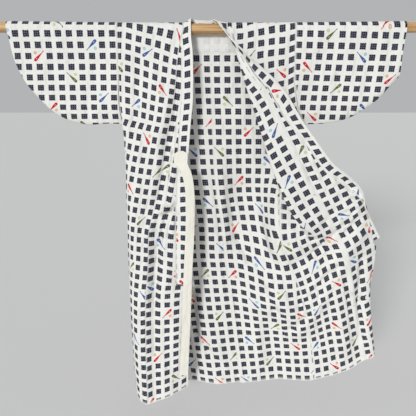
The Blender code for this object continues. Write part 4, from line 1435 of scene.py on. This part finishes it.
def collar_side(half, strip):
    """List the collar's rows from the neck's middle down one front."""
    edges = strip.edges
    corner = front_rim(half, 1.0, 0)
    middle_x = place(CENTRE_BACK, 0).x
    wide = corner.x - middle_x
    rows = []
    for share in steps_between(0, 1, STEP / abs(wide))[:-1]:
        rim = Vector((middle_x + wide * share, OVER_ROD, 0))
        key = -HALF_ROUND - abs(wide) * (1 - share)
        rows.append(collar_row(rim, rim - Vector((0, 0, 5)), edges, key))
    outward = Vector((math.copysign(5, wide), 0, 0))
    for turn in OVER_TURNS:
        angle = math.radians(turn)
        rim = Vector((corner.x, OVER_ROD * math.sin(angle), OVER_ROD * math.cos(angle)))
        rows.append(collar_row(rim, rim + outward, edges, -OVER_ROD * math.radians(turn + 90)))
    for drop in steps_between(0, strip.tip)[:-1]:
        gap = COLLAR_SEAM_GAP + strip.wide_gap * rise(12, 38, drop)
        row = collar_row(
            front_rim(half, 1.0, drop), front_rim(half, 0.97, drop), edges, drop, gap)
        rows.append(lifted(row, strip, drop))
    for drop in steps_between(strip.tip, strip.low_end):
        gap = COLLAR_SEAM_GAP + strip.wide_gap * (1 - rise(strip.tip, 240, drop))
        rim = strip_rim(strip, 1.0, drop)
        inner = strip_rim(strip, 0.95, drop)
        if (rim - inner).length < 2:
            inner = front_rim(half, 0.97, drop)
        rows.append(lifted(collar_row(rim, inner, edges, drop, gap), strip, drop))
    return rows


def collar_sheet():
    """Make the collar band from one front over the neck to the other."""
    sheet = Sheet(downward=True)
    right = collar_side(RIGHT_HALF, RIGHT_STRIP)
    left = collar_side(LEFT_HALF, LEFT_STRIP)
    rows = right[::-1] + left[1:]
    for row, length in zip(rows, run_lengths([row[2] for row in rows])):
        fine = [by_share(row, s) for s in COLLAR_SHARES]
        lengths = run_lengths(fine)
        total = lengths[-1]
        places = [(total - s - COLLAR_PRINT, length) for s in lengths]
        plain = edge_plain(lengths, SIDE_PLAIN, 0)
        plain = [max(p, 1 - rise(5.0, 7.0, total - s)) for p, s in zip(plain, lengths)]
        thick = []
        for s in lengths:
            stitched = math.exp(-((total - s - 4.6) / 1.3) ** 2)
            thick.append((1.0 + 0.6 * rise(0, 3, s)) * (1 - 0.45 * stitched))
        sheet.add_row(fine, places, plain, thick)
    return sheet


def patch_sheet():
    """Make the plain piece inside the back of the neck."""
    sheet = Sheet(downward=True)
    lift = (CLOTH + PATCH_CLOTH) / 2 + SEAM_GAP
    centre_x = CENTRE_BACK[0][1]
    for drop in steps_between(4, 52, 3):
        row = []
        for x in steps_between(-86, 100, 4):
            half, armhole = RIGHT_HALF, ARMHOLE_BACK_RIGHT
            if x > centre_x:
                half, armhole = LEFT_HALF, ARMHOLE_BACK_LEFT
            edge = place(armhole, drop).x
            share = (x - edge) / (centre_x - edge)
            point = half.back_relief(by_share(half.back(drop), share), drop, share)
            seam = 0.5 * math.exp(-((x - centre_x) / 1.6) ** 2)
            hem = 0.6 * math.exp(-((drop - 48) / 1.5) ** 2)
            row.append(toward(point, lift - seam - hem))
        sheet.add_row(row, [(p.x + PATCH_PRINT, -drop) for p in row], [0.0] * len(row))
    return sheet


class ROBE_OT_collar(bpy.types.Operator):
    """Make the collar band and the plain piece inside the neck"""

    bl_idname = "robe.collar"
    bl_label = "Collar and neck"

    def execute(self, context):
        deselect()
        cloth = context.scene.robe_cloth
        thing = shell("collar_cloth", collar_sheet(), cloth.thickness * COLLAR_LAYERS)
        dress(thing, printed_cotton(cloth), "collar")
        thing = shell("neck_patch_cloth", patch_sheet(), cloth.thickness * PATCH_LAYERS)
        material = print_material("thin_white_cotton", cloth, cloth.white, 0.10)
        dress(thing, material, "neck_patch")
        return {"FINISHED"}


# Ties

def tie_seat(strip, drop, side, gap, low):
    """Lay one row of a tie flat on the collar's outer face."""
    def band(d):
        return collar_row(strip_rim(strip, 1.0, d), strip_rim(strip, 0.95, d), strip.edges, d)
    _, seam, _, edge = band(drop)
    across = (edge - seam).normalized()
    out = (seam - band(drop - 4)[1]).normalized().cross(across).normalized() * side
    lift = out * ((COLLAR_CLOTH + TIE_CLOTH) / 2 + gap)
    clear = out * 2.5 if low < 0 else out * 0
    row = [seam + (edge - seam) * share + lift for share in (low, (low + 1) / 2, 1.0)]
    return [row[0] + clear, row[1] + clear, row[2]]


def tie_sheet(seats, table, creases):
    """Make one flat strip tie, sewn at its top and hanging free."""
    sheet = Sheet(downward=True)
    middles = [row[1] for row in seats] + [Vector(r[:3]) for r in table]
    halves = [Vector(((row[2] - row[0]).length / 2, 0, 0)) for row in seats]
    halves += [Vector((r[3] / 2, 0, 0)) for r in table]
    flat = (seats[-1][2] - seats[-1][0]).normalized()
    steps = []
    for i, (a, b) in enumerate(zip(middles, middles[1:])):
        count = max(2, round((b - a).length / STEP))
        steps += [i + k / count for k in range(count)]
    steps.append(len(middles) - 1)
    spots = [through(middles, t) for t in steps]
    for t, middle, length in zip(steps, spots, run_lengths(spots)):
        half = through(halves, t).x
        if length < 12:
            half *= math.sqrt(max(0.08, 1 - (1 - length / 12) ** 2))
        hanging = min(1.0, max(0.0, (t - 2) / 2))
        across = flat.lerp(Vector((1, 0, 0)), hanging).normalized()
        row = []
        for s in TIE_SHARES:
            spot = middle + across * (s * half)
            spot = toward(spot, creases(spot) * (1 - rise(40, 160, length)))
            wave = 0.4 * math.sin(length / 47.0 + s) * rise(60, 140, length)
            dent = 0.75 * math.exp(-((s - 0.12) / 0.07) ** 2)
            row.append(toward(spot, wave - dent))
        places = [(s * half, length) for s in TIE_SHARES]
        thick = [1.7 * math.sqrt(max(0.12, 1 - abs(s) ** 8)) for s in TIE_SHARES]
        sheet.add_row(row, places, [1.0] * len(row), thick)
    return sheet


class ROBE_OT_ties(bpy.types.Operator):
    """Make the two ties"""

    bl_idname = "robe.ties"
    bl_label = "Ties"

    def execute(self, context):
        deselect()
        cloth = context.scene.robe_cloth
        material = cream_cotton(cloth)
        right = [
            tie_seat(RIGHT_STRIP, drop, 1, TIE_LIFT_RIGHT, -0.5) for drop in TIE_SEWN_RIGHT]
        left = [
            tie_seat(LEFT_STRIP, drop, -1, TIE_LIFT_LEFT, 0.14) for drop in TIE_SEWN_LEFT]
        for node, sheet in (
                ("tie_right", tie_sheet(right, TIE_RIGHT, right_creases)),
                ("tie_left", tie_sheet(left, TIE_LEFT, flap_creases))):
            thing = shell(node + "_cloth", sheet, cloth.thickness)
            dress(thing, material, node)
        return {"FINISHED"}


# Rod

def choose_edges(thing, wanted):
    """Go into edit mode with only those edges chosen whose two heights fit."""
    bpy.ops.object.mode_set(mode="EDIT")
    bpy.ops.mesh.select_mode(type="EDGE")
    bpy.ops.mesh.select_all(action="DESELECT")
    bpy.ops.object.mode_set(mode="OBJECT")
    points = thing.data.vertices
    for edge in thing.data.edges:
        edge.select = wanted(*(points[v].co.z for v in edge.vertices))
    bpy.ops.object.mode_set(mode="EDIT")


class ROBE_OT_rod(bpy.types.Operator):
    """Make the bowed wooden rod"""

    bl_idname = "robe.rod"
    bl_label = "Rod"

    def execute(self, context):
        deselect()
        rod = context.scene.robe_rod
        length = 2 * ROD_HALF_LENGTH * MM
        bpy.ops.mesh.primitive_cylinder_add(
            vertices=ROD_SIDES, radius=rod.radius, depth=length, end_fill_type="NGON")
        thing = context.active_object
        thing.name = "rod_wood"
        choose_edges(thing, lambda low, high: abs(low - high) > length / 2)
        bpy.ops.mesh.subdivide(number_cuts=ROD_CUTS)
        bpy.ops.object.mode_set(mode="OBJECT")
        rim = length / 2 - 1e-5
        choose_edges(thing, lambda low, high: min(abs(low), abs(high)) > rim)
        bpy.ops.mesh.bevel(offset=ROD_END_BEVEL * MM, segments=3, affect="EDGES")
        bpy.ops.object.mode_set(mode="OBJECT")
        bpy.ops.object.modifier_add(type="SIMPLE_DEFORM")
        bowed = thing.modifiers[-1]
        bowed.deform_method = "BEND"
        bowed.deform_axis = "Y"
        bowed.angle = length * 2 * ROD_BOW / (ROD_BOW_AT ** 2 * MM)
        bpy.ops.object.modifier_apply(modifier=bowed.name)
        thing.rotation_euler = (0, -math.pi / 2, 0)
        bpy.ops.object.transform_apply(location=True, rotation=True, scale=True)
        bpy.ops.object.shade_smooth_by_angle(angle=math.radians(40))
        thing.data.materials.append(rod_wood(rod))
        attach(thing, "root")
        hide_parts("rod")
        return {"FINISHED"}


# Stage

def soft_light(name, from_place, power, spread):
    """Place one broad soft light that shines on the robe from here."""
    data = bpy.data.lights.new(name, "SUN")
    data.energy = power
    data.angle = math.radians(spread)
    lamp = bpy.data.objects.new(name, data)
    bpy.context.scene.collection.objects.link(lamp)
    lamp.location = from_place
    way = Vector(AIM) - Vector(from_place)
    lamp.rotation_euler = way.to_track_quat("-Z", "Y").to_euler()


class ROBE_OT_stage(bpy.types.Operator):
    """Make the floor, lights and camera"""

    bl_idname = "robe.stage"
    bl_label = "Stage"

    def execute(self, context):
        deselect()
        stage = context.scene.robe_stage
        bpy.ops.mesh.primitive_plane_add(
            size=FLOOR_SIZE, location=(0, 0, stage.floor_height))
        floor = context.active_object
        floor.name = "floor"
        bpy.ops.object.transform_apply(location=True, rotation=True, scale=True)
        wires = Wires("pale_floor")
        wires.shader.inputs["Base Color"].default_value = solid(stage.floor_colour)
        wires.shader.inputs["Roughness"].default_value = 0.9
        floor.data.materials.append(wires.material)
        soft_light("key", KEY_PLACE, stage.key_power, KEY_SPREAD)
        soft_light("back", BACK_PLACE, stage.key_power * BACK_SHARE, BACK_SPREAD)
        world = bpy.data.worlds.new("studio")
        world.use_nodes = True
        shade = world.node_tree.nodes["Background"]
        shade.inputs[0].default_value = SKY_COLOUR
        shade.inputs[1].default_value = SKY_STRENGTH
        context.scene.world = world
        context.scene.view_settings.view_transform = "Standard"
        data = bpy.data.cameras.new("camera")
        data.sensor_width = SENSOR
        data.lens = SENSOR * VIEW_REACH / VIEW_SIDE
        camera = bpy.data.objects.new("camera", data)
        context.scene.collection.objects.link(camera)
        camera.location = CAMERA_PLACE
        camera.rotation_euler = (math.radians(90 - LOOK_DOWN), 0, 0)
        context.scene.camera = camera
        return {"FINISHED"}


class ROBE_PT_panel(bpy.types.Panel):
    """Lists the robe's operators and settings"""

    bl_idname = "ROBE_PT_panel"
    bl_label = "Robe"
    bl_space_type = "VIEW_3D"
    bl_region_type = "UI"
    bl_category = "Robe"

    def draw(self, context):
        for operator in OPERATORS:
            self.layout.operator(operator.bl_idname)
        for group in ("robe_cloth", "robe_rod", "robe_stage"):
            settings = getattr(context.scene, group)
            box = self.layout.box()
            for name in settings.__annotations__:
                box.prop(settings, name)


OPERATORS = [
    ROBE_OT_body, ROBE_OT_overlaps, ROBE_OT_sleeves, ROBE_OT_collar,
    ROBE_OT_ties, ROBE_OT_rod, ROBE_OT_stage,
]
CLASSES = [RobeCloth, RobeRod, RobeStage] + OPERATORS + [ROBE_PT_panel]


def register():
    """Make the settings, operators and panel known."""
    for kind in CLASSES:
        bpy.utils.register_class(kind)
    scene = bpy.types.Scene
    scene.robe_cloth = bpy.props.PointerProperty(type=RobeCloth)
    scene.robe_rod = bpy.props.PointerProperty(type=RobeRod)
    scene.robe_stage = bpy.props.PointerProperty(type=RobeStage)


def unregister():
    """Take the settings, operators and panel away."""
    del bpy.types.Scene.robe_stage
    del bpy.types.Scene.robe_rod
    del bpy.types.Scene.robe_cloth
    for kind in reversed(CLASSES):
        bpy.utils.unregister_class(kind)


def main():
    """Build every piece and the stage."""
    register()
    bpy.ops.robe.body()
    bpy.ops.robe.overlaps()
    bpy.ops.robe.sleeves()
    bpy.ops.robe.collar()
    bpy.ops.robe.ties()
    bpy.ops.robe.rod()
    bpy.ops.robe.stage()


if __name__ == "__main__":
    main()
